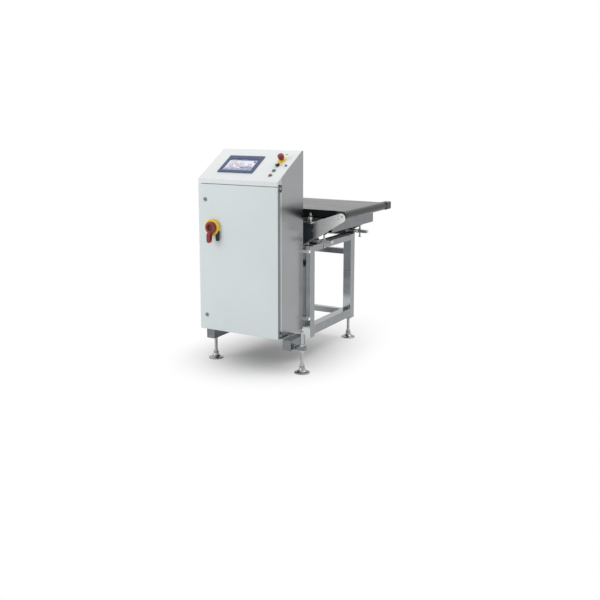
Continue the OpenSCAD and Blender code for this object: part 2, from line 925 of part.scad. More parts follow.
// A lock's core with its cam, turned to open
module lock_core(z, up) {
  end = rim_y + sheet + cam_air + cam_t;
  difference() {
    union() {
      rod_y(lock_x, z, -lock_lip, end, lock_core_d);
      block(
        [lock_x - cam_w / 2, end - cam_t, up > 0 ? z : z - cam_l],
        [lock_x + cam_w / 2, end, up > 0 ? z + cam_l : z]
      );
    }
    block(
      [lock_x - lock_core_d * 0.12, -lock_lip - eps, z - lock_core_d * 0.36],
      [lock_x + lock_core_d * 0.12, -lock_lip + lock_core_d * 0.4, z + lock_core_d * 0.36]
    );
  }
}

module upper_lock() {
  color(zinc) machine() lock_core(lock_zs[1], 1);
}

module lower_lock() {
  color(zinc) machine() lock_core(lock_zs[0], 1);
}

// The lever, as its side view cut to its front view
module switch_lever_arm() {
  intersection() {
    along_x(switch_x - lever_w / 2, switch_x + lever_w / 2) translate([0, switch_z]) polygon([
      [-switch_face * 0.8, -recess_d * 0.52],
      [-switch_face, -recess_d * 0.52],
      [-switch_reach, -switch_lever * 0.44],
      [-switch_reach, -switch_lever * 0.94],
      [-switch_reach * 0.94, -switch_lever],
      [-switch_reach * 0.66, -switch_lever],
      [-switch_face * 0.8, -switch_lever * 0.6]
    ]);
    along_y(-switch_reach - eps, 0) translate([switch_x, switch_z]) {
      translate([0, lever_w / 2 - switch_lever]) circle(d = lever_w);
      translate([-lever_w / 2, lever_w / 2 - switch_lever]) square([lever_w, switch_lever]);
    }
  }
}

module switch_handle() {
  r = switch_knob_d / 2;
  low = switch_plate_t + air;
  color(red) machine() {
    turned_y(switch_x, switch_z, [
      [0, low],
      [r, low],
      [r, switch_face - switch_rim],
      [r - switch_rim, switch_face],
      [recess_d / 2, switch_face],
      [recess_d * 0.4, switch_face - recess_depth],
      [0, switch_face - recess_depth]
    ]);
    switch_lever_arm();
    rod_y(switch_x, switch_z, -low - eps, boss_end, switch_boss_d);
  }
}

module switch_shaft() {
  end = boss_end + air;
  color(zinc) machine() {
    rod_y(switch_x, switch_z, end, device_y - switch_body[1] / 2 - air, shaft_d);
    rod_y(switch_x, switch_z, end, end + coupling_t, coupling_d);
  }
}

// Stand

// An upright with a plug at its foot and a plate on its head
module upright(x, y, hole) {
  half = tube / 2;
  difference() {
    block([x - half, y - half, foot_rise], [x + half, y + half, stand_top]);
    block(
      [x - half + wall, y - half + wall, foot_rise + plug_t],
      [x + half - wall, y + half - wall, stand_top - wall]
    );
    if (hole) rod_z(x, y, foot_rise - eps, foot_rise + plug_t + eps, spindle_d + 2 * run);
  }
}

module legs() {
  color(steel) machine() both_sides() {
    upright(leg_x, near_y, false);
    upright(leg_x, far_y, true);
  }
}

module side_rails() {
  y0 = near_y + tube / 2;
  y1 = far_y - tube / 2;
  color(steel) machine() both_sides() {
    box_tube(
      [leg_x - tube / 2, y0, stand_top - upper_rail_h],
      [leg_x + tube / 2, y1, stand_top],
      1, wall
    );
    box_tube([leg_x - tube / 2, y0, lower_z], [leg_x + tube / 2, y1, lower_z + tube], 1, wall);
  }
}

module cross_rails() {
  x1 = leg_x - tube / 2;
  color(steel) machine() for (y = [near_y, far_y]) {
    top = stand_top - cross_drop;
    box_tube([-x1, y - cross / 2, top - cross], [x1, y + cross / 2, top], 0, wall);
    box_tube([-x1, y - cross / 2, cross_low_z], [x1, y + cross / 2, cross_low_z + cross], 0, wall);
  }
}

module mounting_bars() {
  x1 = leg_x + tube / 2;
  color(steel) machine() for (z = bar_zs)
    block([-x1, cab_d, z - bar_h / 2], [x1, stand_y, z + bar_h / 2]);
}

// A closed arm under the cabinet, centred on X
module arm(x) {
  y1 = arm_front + arm_l;
  difference() {
    block([x - tube / 2, arm_front, foot_rise], [x + tube / 2, y1, cab_bottom]);
    block(
      [x - tube / 2 + wall, arm_front + wall, foot_rise + plug_t],
      [x + tube / 2 - wall, y1 - wall, cab_bottom - wall]
    );
  }
}

module foot_frame() {
  beam_y1 = arm_front + arm_l - wall;
  color(steel) machine() difference() {
    union() {
      arm(-leg_x);
      arm(right_arm_x);
      box_tube(
        [-leg_x + tube / 2, beam_y1 - tube, cab_bottom - beam_under_h],
        [right_arm_x - tube / 2, beam_y1, cab_bottom],
        0, wall
      );
      block(
        [right_arm_x + tube / 2, foot_front - lug_w / 2, foot_rise],
        [right_foot_x + lug_tip, foot_front + lug_w / 2, foot_rise + lug_h]
      );
    }
    rod_z(-leg_x, foot_front, foot_rise - eps, foot_rise + plug_t + eps, spindle_d + 2 * run);
    rod_z(right_foot_x, foot_front, foot_rise - eps, foot_rise + lug_h + eps, spindle_d + 2 * run);
  }
}

// Feet

module foot_bases() {
  color(zinc) machine() for (p = foot_places) translate(p) difference() {
    rotate_extrude() polygon([
      [0, 0],
      [foot_d / 2, 0],
      [foot_d / 2, rim_h * 0.6],
      [foot_d / 2 - rim_h * 0.4, rim_h],
      [foot_d * 0.32, rim_h * 1.5],
      [foot_d * 0.22, neck_z * 0.62],
      [neck_d / 2, neck_z],
      [neck_d / 2, foot_h],
      [0, foot_h]
    ]);
    translate([0, 0, foot_h - socket_l]) cylinder(h = socket_l + eps, d = spindle_d + 2 * run);
  }
}

module foot_nuts() {
  color(zinc) machine() {
    for (p = foot_places) nut(p[0], p[1], foot_rise - nut_h, nut_h, hex_d, spindle_d + 2 * run);
    nut(right_foot_x, foot_front, foot_rise + lug_h, nut_h, hex_d, spindle_d + 2 * run);
  }
}

// A spindle with the hexagon that turns it
module spindle(place, top) {
  color(zinc) machine() {
    rod_z(place[0], place[1], foot_h - socket_l + air, top, spindle_d);
    translate([place[0], place[1], foot_h + air]) cylinder(h = collar_h, d = neck_d * 0.9, $fn = 6);
  }
}

module front_left_spindle() {
  spindle(foot_places[0], foot_rise + plug_t + wall);
}

module front_right_spindle() {
  spindle(foot_places[1], foot_rise + lug_h + spindle_over);
}

module rear_left_spindle() {
  spindle(foot_places[2], foot_rise + spindle_in);
}

module rear_right_spindle() {
  spindle(foot_places[3], foot_rise + spindle_in);
}

// Load cells

module cell_spacers() {
  color(black) machine() both_sides() for (y = cell_ys) {
    block([cell_x0, y - cell_w / 2, stand_top], [cell_x0 + tube, y + cell_w / 2, cell_z]);
    block(
      [cell_x0, y - cell_w / 2, cell_z + cell_h],
      [cell_x0 + tube, y + cell_w / 2, cell_z + cell_h + cap_h]
    );
  }
  color(black) machine() both_sides() cable_strip();
}

// The channel for the cells' leads, along a rail between two cells
module cable_strip() {
  y0 = cell_near_y + cell_w / 2;
  y1 = cell_far_y - cell_w / 2;
  block([leg_x - strip_w / 2, y0, stand_top], [leg_x + strip_w / 2, y1, stand_top + strip_h]);
}

module load_cells() {
  mid_x = cell_x0 + tube + (load_x + leg_x - cell_x0 - tube) / 2;
  color([0.62, 0.64, 0.66]) machine() both_sides() for (y = cell_ys) difference() {
    block([cell_x0, y - cell_w / 2, cell_z], [cell_x0 + cell_l, y + cell_w / 2, cell_z + cell_h]);
    for (side = [-0.5, 0.5])
      rod_y(mid_x + side * cell_hole_gap, cell_z + cell_h / 2, y - cell_w, y + cell_w, cell_hole_d);
    block(
      [mid_x - cell_hole_gap / 2, y - cell_w, cell_z + cell_h / 2 - cell_hole_d * 0.2],
      [mid_x + cell_hole_gap / 2, y + cell_w, cell_z + cell_h / 2 + cell_hole_d * 0.2]
    );
    rod_z(leg_x + load_x, y, cell_z - eps, cell_z + cell_h + eps, load_screw_d);
  }
}

module load_pads() {
  color(black) machine() both_sides() for (y = cell_ys)
    translate([leg_x + load_x, y, beam_z - pad_h]) rotate_extrude() polygon([
      [0, 0],
      [pad_d * 0.4, 0],
      [pad_d / 2, pad_h * 0.25],
      [pad_d / 2, pad_h],
      [0, pad_h]
    ]);
}

// Conveyor

module end_beams() {
  color(steel) machine() both_sides() box_tube(
    [beam_out - beam_w, near_plate_y + plate_t, beam_z],
    [beam_out, far_plate_y, beam_z + beam_h],
    1, wall
  );
}

// Where a line from a point touches a plate's round end, on its upper (1) or lower (-1) side
function touch(p, centre, r, side) =
  let (
    d = centre - p,
    dist = norm(d),
    a = atan2(d[1], d[0]) + side * asin(r / dist),
    l = sqrt(dist * dist - r * r)
  ) p + l * [cos(a), sin(a)];

// The right half of a side plate's outline, by its round end and its heel
module half_outline(centre, r, low) {
  polygon([
    [0, shoulder[1]],
    shoulder,
    touch(shoulder, centre, r, 1),
    centre,
    touch(low, centre, r, -1),
    low,
    knee,
    ankle,
    toe,
    [0, toe[1]]
  ]);
  translate(centre) circle(r = r);
}

// The right half of the bay in the middle of a side plate, grown or shrunk by its rim
module half_bay(rim) {
  polygon([
    [-eps, shoulder[1] - rim],
    [shoulder[0] - rim * 0.2, shoulder[1] - rim],
    [ankle[0] - rim * 0.2, ankle[1] + rim * 1.1],
    [toe[0] - rim * 0.4, toe[1] + rim],
    [-eps, toe[1] + rim]
  ]);
}

// A side plate between two places in Y, with its outline as a child and its flange on the outside
module side_plate(y0, y1, flange_y0, flange_y1) {
  color(steel) machine() both_sides() difference() {
    union() {
      along_y(y0, y1) children();
      block([0, flange_y0, shoulder[1] - plate_t], [shoulder[0], flange_y1, shoulder[1]]);
    }
    along_y(y0 - eps, y1 + eps) half_bay(window_rim);
    rod_z(stud_x, (flange_y0 + flange_y1) / 2, shoulder[1] - 2 * plate_t, shoulder[1] + eps, stud_d);
  }
}

module side_plates() {
  far_y1 = far_plate_y + plate_t;
  near_y1 = near_plate_y + plate_t;
  side_plate(near_plate_y, near_y1, near_plate_y - flange_w, near_plate_y)
    half_outline(end_c, end_r, heel);
  side_plate(far_plate_y, far_y1, far_y1, far_y1 + flange_w)
    half_outline(far_end_c, far_end_r, far_heel);
}

module bay_covers() {
  inner = near_plate_y + plate_t;
  color(black) machine() both_sides() {
    along_y(inner, inner + cover_t) half_bay(window_rim - cover_lap);
    along_y(far_plate_y - cover_t, far_plate_y) half_bay(window_rim - cover_lap);
  }
}

// The screws that carry the conveyor on its cells, and the studs that carry the bed on its plates
module threaded_rods() {
  x = leg_x + load_x;
  z0 = cell_z - load_drop;
  stud_z = shoulder[1] - plate_t - stud_nut_h;
  color(zinc) machine() both_sides() {
    for (y = cell_ys) {
      rod_z(x, y, z0, beam_z - pad_h, load_screw_d);
      translate([x, y, z0]) cylinder(h = load_knob_h, d = load_knob_d, $fn = 6);
      nut(x, y, cell_z + cell_h, load_nut_h, load_nut_d, load_screw_d);
    }
    for (y = [near_plate_y - flange_w / 2, far_plate_y + plate_t + flange_w / 2]) {
      rod_z(stud_x, y, stud_z, stud_tip, stud_d);
      for (z = [stud_z, shoulder[1], tab_z + tab_t])
        nut(stud_x, y, z, stud_nut_h, stud_nut_d, stud_d);
      rod_z(stud_x, y, tab_z - buffer_h, tab_z, buffer_d);
    }
  }
}

module slider_bed() {
  y0 = belt_y0 + bed_in;
  y1 = belt_y1 - bed_in;
  x1 = drum_x - drum_d / 2 - bed_in;
  z1 = belt_top - belt_t;
  color(dark) machine() both_sides() difference() {
    union() {
      block([0, y0, z1 - bed_t], [x1, y1, z1]);
      block([0, y0, z1 - bed_skirt], [x1, y0 + bed_t, z1]);
      block([0, y1 - bed_t, z1 - bed_skirt], [x1, y1, z1]);
      for (i = [0:bed_ribs - 1]) {
        x = x1 * (i + 0.5) / bed_ribs;
        block([x, y0, z1 - bed_skirt], [x + bed_t, y1, z1]);
      }
      bed_tab(near_plate_y - flange_w, y0 + bed_t);
      bed_tab(y1 - bed_t, far_plate_y + plate_t + flange_w);
    }
    for (y = [near_plate_y - flange_w / 2, far_plate_y + plate_t + flange_w / 2])
      rod_z(stud_x, y, tab_z - eps, tab_z + tab_t + eps, stud_d);
  }
}

// A tab that reaches from the bed to a stud
module bed_tab(y0, y1) {
  block([stud_x - tab_w / 2, y0, tab_z], [stud_x + tab_w / 2, y1, tab_z + tab_t]);
}

// The outline of a loop round both drums
module loop_outline(r) {
  for (side = [-1, 1]) translate([side * drum_x, drum_z]) circle(r = r);
  translate([-drum_x, drum_z - r]) square([2 * drum_x, 2 * r]);
}

module conveyor_belt() {
  color([0.30, 0.31, 0.31]) machine() difference() {
    along_y(belt_y0, belt_y1) loop_outline(loop_r);
    along_y(belt_y0 - eps, belt_y1 + eps) loop_outline(loop_r - belt_t);
  }
}

// A block that holds an axle's end against a side plate
module bearing_block(y0) {
  difference() {
    union() {
      rod_y(drum_x, drum_z, y0, y0 + block_t, 2 * block_r);
      block(
        [drum_x - block_tail, y0, drum_z - block_r],
        [drum_x, y0 + block_t, drum_z + block_r]
      );
    }
    rod_y(drum_x, drum_z, y0 - eps, y0 + block_t + eps, axle_d);
  }
}

module bearing_blocks() {
  color(black) machine() both_sides() {
    bearing_block(near_plate_y + plate_t);
    bearing_block(belt_y1 + block_air);
  }
}

// Fixed axles, each with its two bearings
module drum_axles() {
  d = drum_d - 2 * drum_wall - 2 * run;
  color(zinc) machine() both_sides() {
    rod_y(drum_x, drum_z, near_plate_y + plate_t + axle_inset, far_plate_y - axle_inset, axle_d);
    for (y = [belt_y0 + drum_inset, belt_y1 - drum_inset - bearing_w])
      rod_y(drum_x, drum_z, y, y + bearing_w, d);
  }
}

// A hollow drum
module drum(x) {
  color([0.60, 0.61, 0.62]) machine() difference() {
    rod_y(x, drum_z, belt_y0 + drum_inset, belt_y1 - drum_inset, drum_d);
    rod_y(x, drum_z, belt_y0, belt_y1, drum_d - 2 * drum_wall);
  }
}

module drive_drum() {
  drum(drum_x);
}

module idler_drum() {
  drum(-drum_x);
}

module motor_head() {
  y0 = far_plate_y + plate_t;
  color(black) machine() difference() {
    along_y(y0, y0 + head_l) translate([drum_x, drum_z]) soft_square(2 * block_r, head_corner);
    for (angle = [45:90:315])
      rod_y(
        drum_x + head_screw_r * cos(angle), drum_z + head_screw_r * sin(angle),
        y0 + head_l - head_screw_d, y0 + head_l + eps, head_screw_d
      );
  }
}

cabinet_sides();
cabinet_back();
cabinet_floor();
door_rim();
operator_panel();
fixed_hinges();
mounting_plate();
din_rails();
cable_ducts();
main_switch_body();
power_supply();
motor_drive();
weigh_controller();
terminal_blocks();
cable_glands();
display_bezel();
display_screen();
panel_housings();
control_rings();
e_stop_ring();
signal_lamp();
foot_frame();
mounting_bars();
legs();
side_rails();
cross_rails();
foot_bases();
foot_nuts();
cell_spacers();
load_cells();
threaded_rods();
load_pads();
side_plates();
end_beams();
bay_covers();
slider_bed();
bearing_blocks();
conveyor_belt();
drum_axles();
motor_head();
door();
door_seal();
switch_plate();
padlock_hasp();
lock_housings();
upper_lock();
lower_lock();
switch_handle();
switch_shaft();
e_stop_head();
selector_knob();
stop_button();
start_button();
reset_button();
drive_drum();
idler_drum();
front_left_spindle();
front_right_spindle();
rear_left_spindle();
rear_right_spindle();
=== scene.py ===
# %% [markdown]
# # A checkweigher, dressed in Blender
# The machine is a control cabinet on two foot arms, bolted to a welded tube stand that carries a
# weighing belt. Its solids come from the construction model as the frame. Here they get their
# finishes, and small pieces that are made of mesh are added: screws, weld seams, the picture on
# the display. Everything is in metres, with the operator at -Y and the belt running along X.

# %% Load the frame
import math
import random

import bmesh
import bpy
from mathutils import Matrix, Vector


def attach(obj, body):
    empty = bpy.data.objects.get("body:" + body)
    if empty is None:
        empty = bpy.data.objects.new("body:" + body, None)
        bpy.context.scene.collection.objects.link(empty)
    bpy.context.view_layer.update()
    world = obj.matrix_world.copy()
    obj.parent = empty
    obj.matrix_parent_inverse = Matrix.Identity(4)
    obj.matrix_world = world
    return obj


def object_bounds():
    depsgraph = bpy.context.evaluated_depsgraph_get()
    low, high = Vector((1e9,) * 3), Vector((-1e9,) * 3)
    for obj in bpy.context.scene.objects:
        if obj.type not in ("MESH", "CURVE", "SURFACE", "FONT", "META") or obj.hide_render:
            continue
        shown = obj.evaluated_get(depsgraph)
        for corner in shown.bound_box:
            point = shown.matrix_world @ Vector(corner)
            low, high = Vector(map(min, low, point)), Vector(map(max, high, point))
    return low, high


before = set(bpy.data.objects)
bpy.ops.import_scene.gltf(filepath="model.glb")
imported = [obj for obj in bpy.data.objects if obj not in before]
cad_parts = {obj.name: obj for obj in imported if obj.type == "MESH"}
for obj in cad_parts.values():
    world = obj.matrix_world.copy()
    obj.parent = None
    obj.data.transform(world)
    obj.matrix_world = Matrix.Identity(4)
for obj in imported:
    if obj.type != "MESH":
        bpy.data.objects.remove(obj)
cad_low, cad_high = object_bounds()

random.seed(7)
MID_Y = 0.544  # from the door's face to the middle of the frame
extent = [round(b - a, 3) for a, b in zip(cad_low, cad_high)]
print("construction box", extent, "with", len(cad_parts), "nodes")

# %% [markdown]
# ## The camera
# The photograph was taken from the operator's right with a long lens. The cabinet's upright edges
# run almost parallel, so the place and the lens were solved from its corners outside this lesson,
# and the numbers are simply set here. The shift only keeps the machine where it is in the frame.

# %% Camera
LOOK_DOWN, LOOK_LEFT = 0.174, 0.522
camera_data = bpy.data.cameras.new("photo_camera")
camera_data.sensor_width = 36.0
camera_data.lens = 49.17
camera_data.shift_x = 0.0167
camera_data.shift_y = -0.075
camera = bpy.data.objects.new("photo_camera", camera_data)
camera.location = (2.8304, -4.8619, 1.6463)
camera.rotation_euler = (math.pi / 2 - LOOK_DOWN, 0.0, LOOK_LEFT)
bpy.context.scene.collection.objects.link(camera)
bpy.context.scene.camera = camera
print("camera", tuple(round(v, 3) for v in camera.location), "lens", camera_data.lens)

# %% [markdown]
# ## Helpers for materials
# Every finish is a Principled shader with a few nodes in front of it. Small helpers keep the cells
# short: one starts a material, the others add a node, set its plain inputs and join it to the rest.

# %% Material helpers
def start_material(name, colour, roughness, metallic=0.0):
    material = bpy.data.materials.new(name)
    material.use_nodes = True
    tree = material.node_tree
    shader = tree.nodes["Principled BSDF"]
    shader.inputs["Base Color"].default_value = (*colour, 1.0)
    shader.inputs["Roughness"].default_value = roughness
    shader.inputs["Metallic"].default_value = metallic
    return material, tree, shader


def add_node(tree, kind, **inputs):
    node = tree.nodes.new(kind)
    for key, value in inputs.items():
        node.inputs[key.replace("_", " ")].default_value = value
    return node


def math_node(tree, operation, a, b=None, clamp=False):
    node = tree.nodes.new("ShaderNodeMath")
    node.operation = operation
    node.use_clamp = clamp
    for index, value in enumerate((a, b)):
        if value is None:
            continue
        if isinstance(value, (int, float)):
            node.inputs[index].default_value = value
        else:
            tree.links.new(value, node.inputs[index])
    return node.outputs[0]


def mix_colours(tree, factor, low, high):
    node = tree.nodes.new("ShaderNodeMix")
    node.data_type = "RGBA"
    for title, value in (("Factor", factor), ("A", low), ("B", high)):
        socket = node.inputs[title]
        if isinstance(value, (int, float)):
            socket.default_value = value
        elif isinstance(value, tuple):
            socket.default_value = (*value, 1.0) if len(value) == 3 else value
        else:
            tree.links.new(value, socket)
    return node.outputs["Result"]


def spread(tree, value, low, high):
    node = add_node(tree, "ShaderNodeMapRange", To_Min=low, To_Max=high)
    tree.links.new(value, node.inputs["Value"])
    return node.outputs["Result"]


def x_facing_shade_mask(tree):
    """How far a face looks along X, from 0 to 1, used to paint shade on those faces."""
    facing = tree.nodes.new("ShaderNodeTexCoord")
    parts = tree.nodes.new("ShaderNodeSeparateXYZ")
    tree.links.new(facing.outputs["Normal"], parts.inputs[0])
    return math_node(tree, "ABSOLUTE", parts.outputs["X"])


print("material helpers ready")

# %% [markdown]
# ## Shared effects
# Several finishes need the same four effects, so each is built once as a node group and placed
# with its own numbers: softened edges with a wear mask, the fine lines of brushed metal, a soft
# speckle for paint and moulded plastic, and a little dust on what faces upwards. A group gives
# only masks and normals, never a shader, because masks can be read again when a part is exported.

# %% Node group: softened edges
def start_group(name, ins, outs):
    group = bpy.data.node_groups.new(name, "ShaderNodeTree")
    for title, kind, default in ins:
        socket = group.interface.new_socket(title, in_out="INPUT", socket_type=kind)
        socket.default_value = default
    for title, kind in outs:
        group.interface.new_socket(title, in_out="OUTPUT", socket_type=kind)
    return group, group.nodes.new("NodeGroupInput"), group.nodes.new("NodeGroupOutput")


edge_group, given, result = start_group(
    "softened_edges",
    [("Radius", "NodeSocketFloat", 0.002), ("Wear", "NodeSocketFloat", 4.0)],
    [("Normal", "NodeSocketVector"), ("Edge", "NodeSocketFloat")])
bevel = edge_group.nodes.new("ShaderNodeBevel")
bevel.samples = 4
edge_group.links.new(given.outputs["Radius"], bevel.inputs["Radius"])
geometry = edge_group.nodes.new("ShaderNodeNewGeometry")
dot = edge_group.nodes.new("ShaderNodeVectorMath")
dot.operation = "DOT_PRODUCT"
edge_group.links.new(bevel.outputs[0], dot.inputs[0])
edge_group.links.new(geometry.outputs["Normal"], dot.inputs[1])
turned_away = math_node(edge_group, "SUBTRACT", 1.0, dot.outputs["Value"])
worn = math_node(edge_group, "MULTIPLY", turned_away, given.outputs["Wear"], clamp=True)
edge_group.links.new(bevel.outputs[0], result.inputs["Normal"])
edge_group.links.new(worn, result.inputs["Edge"])
print("group", edge_group.name)

# %% Node group: brushed lines
line_group, given, result = start_group(
    "brushed_lines",
    [("Stretch", "NodeSocketVector", (4.0, 4.0, 300.0)), ("Cloud Size", "NodeSocketFloat", 3.0)],
    [("Lines", "NodeSocketFloat"), ("Cloud", "NodeSocketFloat")])
place = line_group.nodes.new("ShaderNodeTexCoord")
stretch = line_group.nodes.new("ShaderNodeVectorMath")
stretch.operation = "MULTIPLY"
line_group.links.new(place.outputs["Object"], stretch.inputs[0])
line_group.links.new(given.outputs["Stretch"], stretch.inputs[1])
lines = add_node(line_group, "ShaderNodeTexNoise", Scale=1.0, Detail=4.0, Roughness=0.65)
line_group.links.new(stretch.outputs[0], lines.inputs["Vector"])
cloud = add_node(line_group, "ShaderNodeTexNoise", Detail=3.0, Roughness=0.55)
line_group.links.new(place.outputs["Object"], cloud.inputs["Vector"])
line_group.links.new(given.outputs["Cloud Size"], cloud.inputs["Scale"])
line_group.links.new(lines.outputs["Fac"], result.inputs["Lines"])
line_group.links.new(cloud.outputs["Fac"], result.inputs["Cloud"])
print("group", line_group.name)

# %% Node group: soft speckle
speckle_group, given, result = start_group(
    "soft_speckle",
    [("Grain Size", "NodeSocketFloat", 900.0), ("Cloud Size", "NodeSocketFloat", 4.0)],
    [("Speckle", "NodeSocketFloat"), ("Cloud", "NodeSocketFloat")])
place = speckle_group.nodes.new("ShaderNodeTexCoord")
fine = add_node(speckle_group, "ShaderNodeTexNoise", Detail=2.0, Roughness=0.6)
broad = add_node(speckle_group, "ShaderNodeTexNoise", Detail=3.0, Roughness=0.5)
for noise, size in ((fine, "Grain Size"), (broad, "Cloud Size")):
    speckle_group.links.new(place.outputs["Object"], noise.inputs["Vector"])
    speckle_group.links.new(given.outputs[size], noise.inputs["Scale"])
speckle_group.links.new(fine.outputs["Fac"], result.inputs["Speckle"])
speckle_group.links.new(broad.outputs["Fac"], result.inputs["Cloud"])
print("group", speckle_group.name)

# %% Node group: settled dust
dust_group, given, result = start_group(
    "settled_dust", [("Amount", "NodeSocketFloat", 0.3)], [("Dust", "NodeSocketFloat")])
facing = dust_group.nodes.new("ShaderNodeNewGeometry")
split = dust_group.nodes.new("ShaderNodeSeparateXYZ")
dust_group.links.new(facing.outputs["Normal"], split.inputs[0])
upward = math_node(dust_group, "MAXIMUM", split.outputs["Z"], 0.0)
steep = math_node(dust_group, "POWER", upward, 3.0)
place = dust_group.nodes.new("ShaderNodeTexCoord")
patches = add_node(dust_group, "ShaderNodeTexNoise", Scale=22.0, Detail=6.0, Roughness=0.7)
dust_group.links.new(place.outputs["Object"], patches.inputs["Vector"])
patchy = math_node(dust_group, "MULTIPLY", steep, patches.outputs["Fac"])
dust_group.links.new(math_node(dust_group, "MULTIPLY", patchy, given.outputs["Amount"], clamp=True),
                     result.inputs["Dust"])
print("group", dust_group.name)


def use_group(tree, group, **inputs):
    node = tree.nodes.new("ShaderNodeGroup")
    node.node_tree = group
    for key, value in inputs.items():
        node.inputs[key.replace("_", " ")].default_value = value
    return node


def bump(tree, shader, height, normal, strength, distance):
    node = add_node(tree, "ShaderNodeBump", Strength=strength, Distance=distance)
    tree.links.new(height, node.inputs["Height"])
    tree.links.new(normal, node.inputs["Normal"])
    tree.links.new(node.outputs[0], shader.inputs["Normal"])

# %% [markdown]
# ## Stainless steel and plated steel
# The cabinet's walls, the tubes and the side plates are brushed stainless. Its lines run along
# the sheet or tube, so the noise is squeezed hard across them and left long along them. Roughness
# follows the lines and a broad cloud, as a hand-guided belt grinder leaves it, and bent edges are
# polished a little brighter.

# %% Brushed steel
LINE_SHARE = 0.55  # of the tone, and the cloud has the rest
TONE_RANGE = (-0.3, 1.3)
HIGHLIGHT = 0.8  # share of the contrast that the light tone gets
POLISH = 0.5  # how far a worn edge goes to the light tone
STEEL_WEAR = 2.5
# The strip in front of the hem gets a painted highlight.
HEM_HIGHLIGHT_GAIN = 1.4  # how much paler the strip in front of the hem is
STEEL_SHEEN = (-0.10, 0.12)  # added to the roughness where the tone is darkest and lightest
LINE_DEPTH, LINE_HEIGHT = 0.12, 0.0002
STEEL_DUST = (0.55, 0.54, 0.51)


def brushed_steel(name, colour, roughness, stretch, edge=0.0015, cloud=3.0, dust=0.05, contrast=0.35,
                  side=1.0, highlight_hem=None):
    """Brushed sheet; side paints shade on faces along X, keeping that share of the colour, and hem is a Y
    in front of which a painted highlight makes the sheet paler.
    """
    material, tree, shader = start_material(name, colour, roughness, metallic=1.0)
    grain = use_group(tree, line_group, Stretch=stretch, Cloud_Size=cloud)
    edges = use_group(tree, edge_group, Radius=edge, Wear=STEEL_WEAR)
    settled = use_group(tree, dust_group, Amount=dust)
    shade = tuple(c * (1.0 - contrast) for c in colour)
    light = tuple(min(1.0, c * (1.0 + contrast * HIGHLIGHT)) for c in colour)
    tone = math_node(tree, "ADD", math_node(tree, "MULTIPLY", grain.outputs["Lines"], LINE_SHARE),
                     math_node(tree, "MULTIPLY", grain.outputs["Cloud"], 1.0 - LINE_SHARE))
    body = mix_colours(tree, spread(tree, tone, *TONE_RANGE), shade, light)
    worn = math_node(tree, "MULTIPLY", edges.outputs["Edge"], POLISH)
    polished = mix_colours(tree, worn, body, light)
    dust_and_painted_light = mix_colours(tree, settled.outputs["Dust"], polished, STEEL_DUST)
    # Painted shade: faces along X keep only the share side of the colour.
    if side < 1.0:
        dust_and_painted_light = mix_colours(tree, x_facing_shade_mask(tree), dust_and_painted_light, tuple(c * side for c in colour))
    # Painted highlight: in front of the hem's Y the sheet is paler.
    if highlight_hem is not None:
        place = tree.nodes.new("ShaderNodeTexCoord")
        parts = tree.nodes.new("ShaderNodeSeparateXYZ")
        tree.links.new(place.outputs["Object"], parts.inputs[0])
        front = math_node(tree, "LESS_THAN", parts.outputs["Y"], highlight_hem)
        dust_and_painted_light = mix_colours(tree, front, dust_and_painted_light, tuple(min(1.0, c * HEM_HIGHLIGHT_GAIN) for c in colour))
    tree.links.new(dust_and_painted_light, shader.inputs["Base Color"])
    low, high = (roughness + change for change in STEEL_SHEEN)
    tree.links.new(spread(tree, tone, low, high), shader.inputs["Roughness"])
    bump(tree, shader, grain.outputs["Lines"], edges.outputs["Normal"], LINE_DEPTH, LINE_HEIGHT)
    return material


print("a tone is", LINE_SHARE, "lines and", round(1.0 - LINE_SHARE, 2), "cloud")

# %% Steel finishes
# The walls and tubes are one brushed stainless, copied with different base colours as painted light and
# shade: the uprights and the side plates lighter, the rails along Y, the foot arms and the end beams
# darker.
WALL_LINES = (5.0, 5.0, 420.0)
X_LINES, Y_LINES, Z_LINES = (5.0, 420.0, 420.0), (420.0, 5.0, 420.0), (420.0, 420.0, 5.0)
TURNED_LINES, SCREW_LINES = (25.0, 25.0, 700.0), (90.0, 90.0, 90.0)
FINE_EDGE = 0.0008
# The wall's front strip, up to 48 mm behind the door's face, carries the painted highlight.
HIGHLIGHT_HEM_Y = 0.048 - MID_Y
wall_steel = brushed_steel("brushed cabinet wall", (0.32, 0.325, 0.33), 0.22, WALL_LINES,
                           contrast=0.15, highlight_hem=HIGHLIGHT_HEM_Y)
# The uprights are a lighter copy, and side=0.42 paints shade on their faces along X.
lit_shaded_upright_steel = brushed_steel("brushed upright tube, painted light and shade", (0.66, 0.695, 0.71), 0.18, Z_LINES,
                              cloud=8.0, side=0.42)
shaded_rail_steel = brushed_steel("brushed rail along Y, painted shade", (0.27, 0.285, 0.295), 0.20, Y_LINES, cloud=9.0)
cross_steel = brushed_steel("brushed rail along X", (0.37, 0.39, 0.40), 0.20, X_LINES, cloud=9.0)
bar_steel = brushed_steel("bright joining bar", (0.92, 0.93, 0.93), 0.36, X_LINES, contrast=0.15)
shaded_arm_steel = brushed_steel("brushed foot arm, painted shade", (0.20, 0.215, 0.225), 0.24, X_LINES, cloud=9.0)
shaded_beam_steel = brushed_steel("brushed end beam, painted shade", (0.18, 0.19, 0.20), 0.26, Y_LINES, cloud=7.0)
lit_plate_steel = brushed_steel("brushed side plate, painted light", (0.93, 0.95, 0.955), 0.30, (6.0, 400.0, 420.0),
                            cloud=5.0)
galvanised = brushed_steel("galvanised sheet", (0.56, 0.57, 0.57), 0.40, (40.0, 40.0, 40.0),
                           contrast=0.10, dust=0.0)
plated = brushed_steel("zinc plating", (0.50, 0.50, 0.48), 0.32, SCREW_LINES, edge=FINE_EDGE, cloud=25.0)
dark_plated = brushed_steel("blackened screws", (0.16, 0.16, 0.16), 0.34, SCREW_LINES,
                            edge=FINE_EDGE, cloud=25.0)
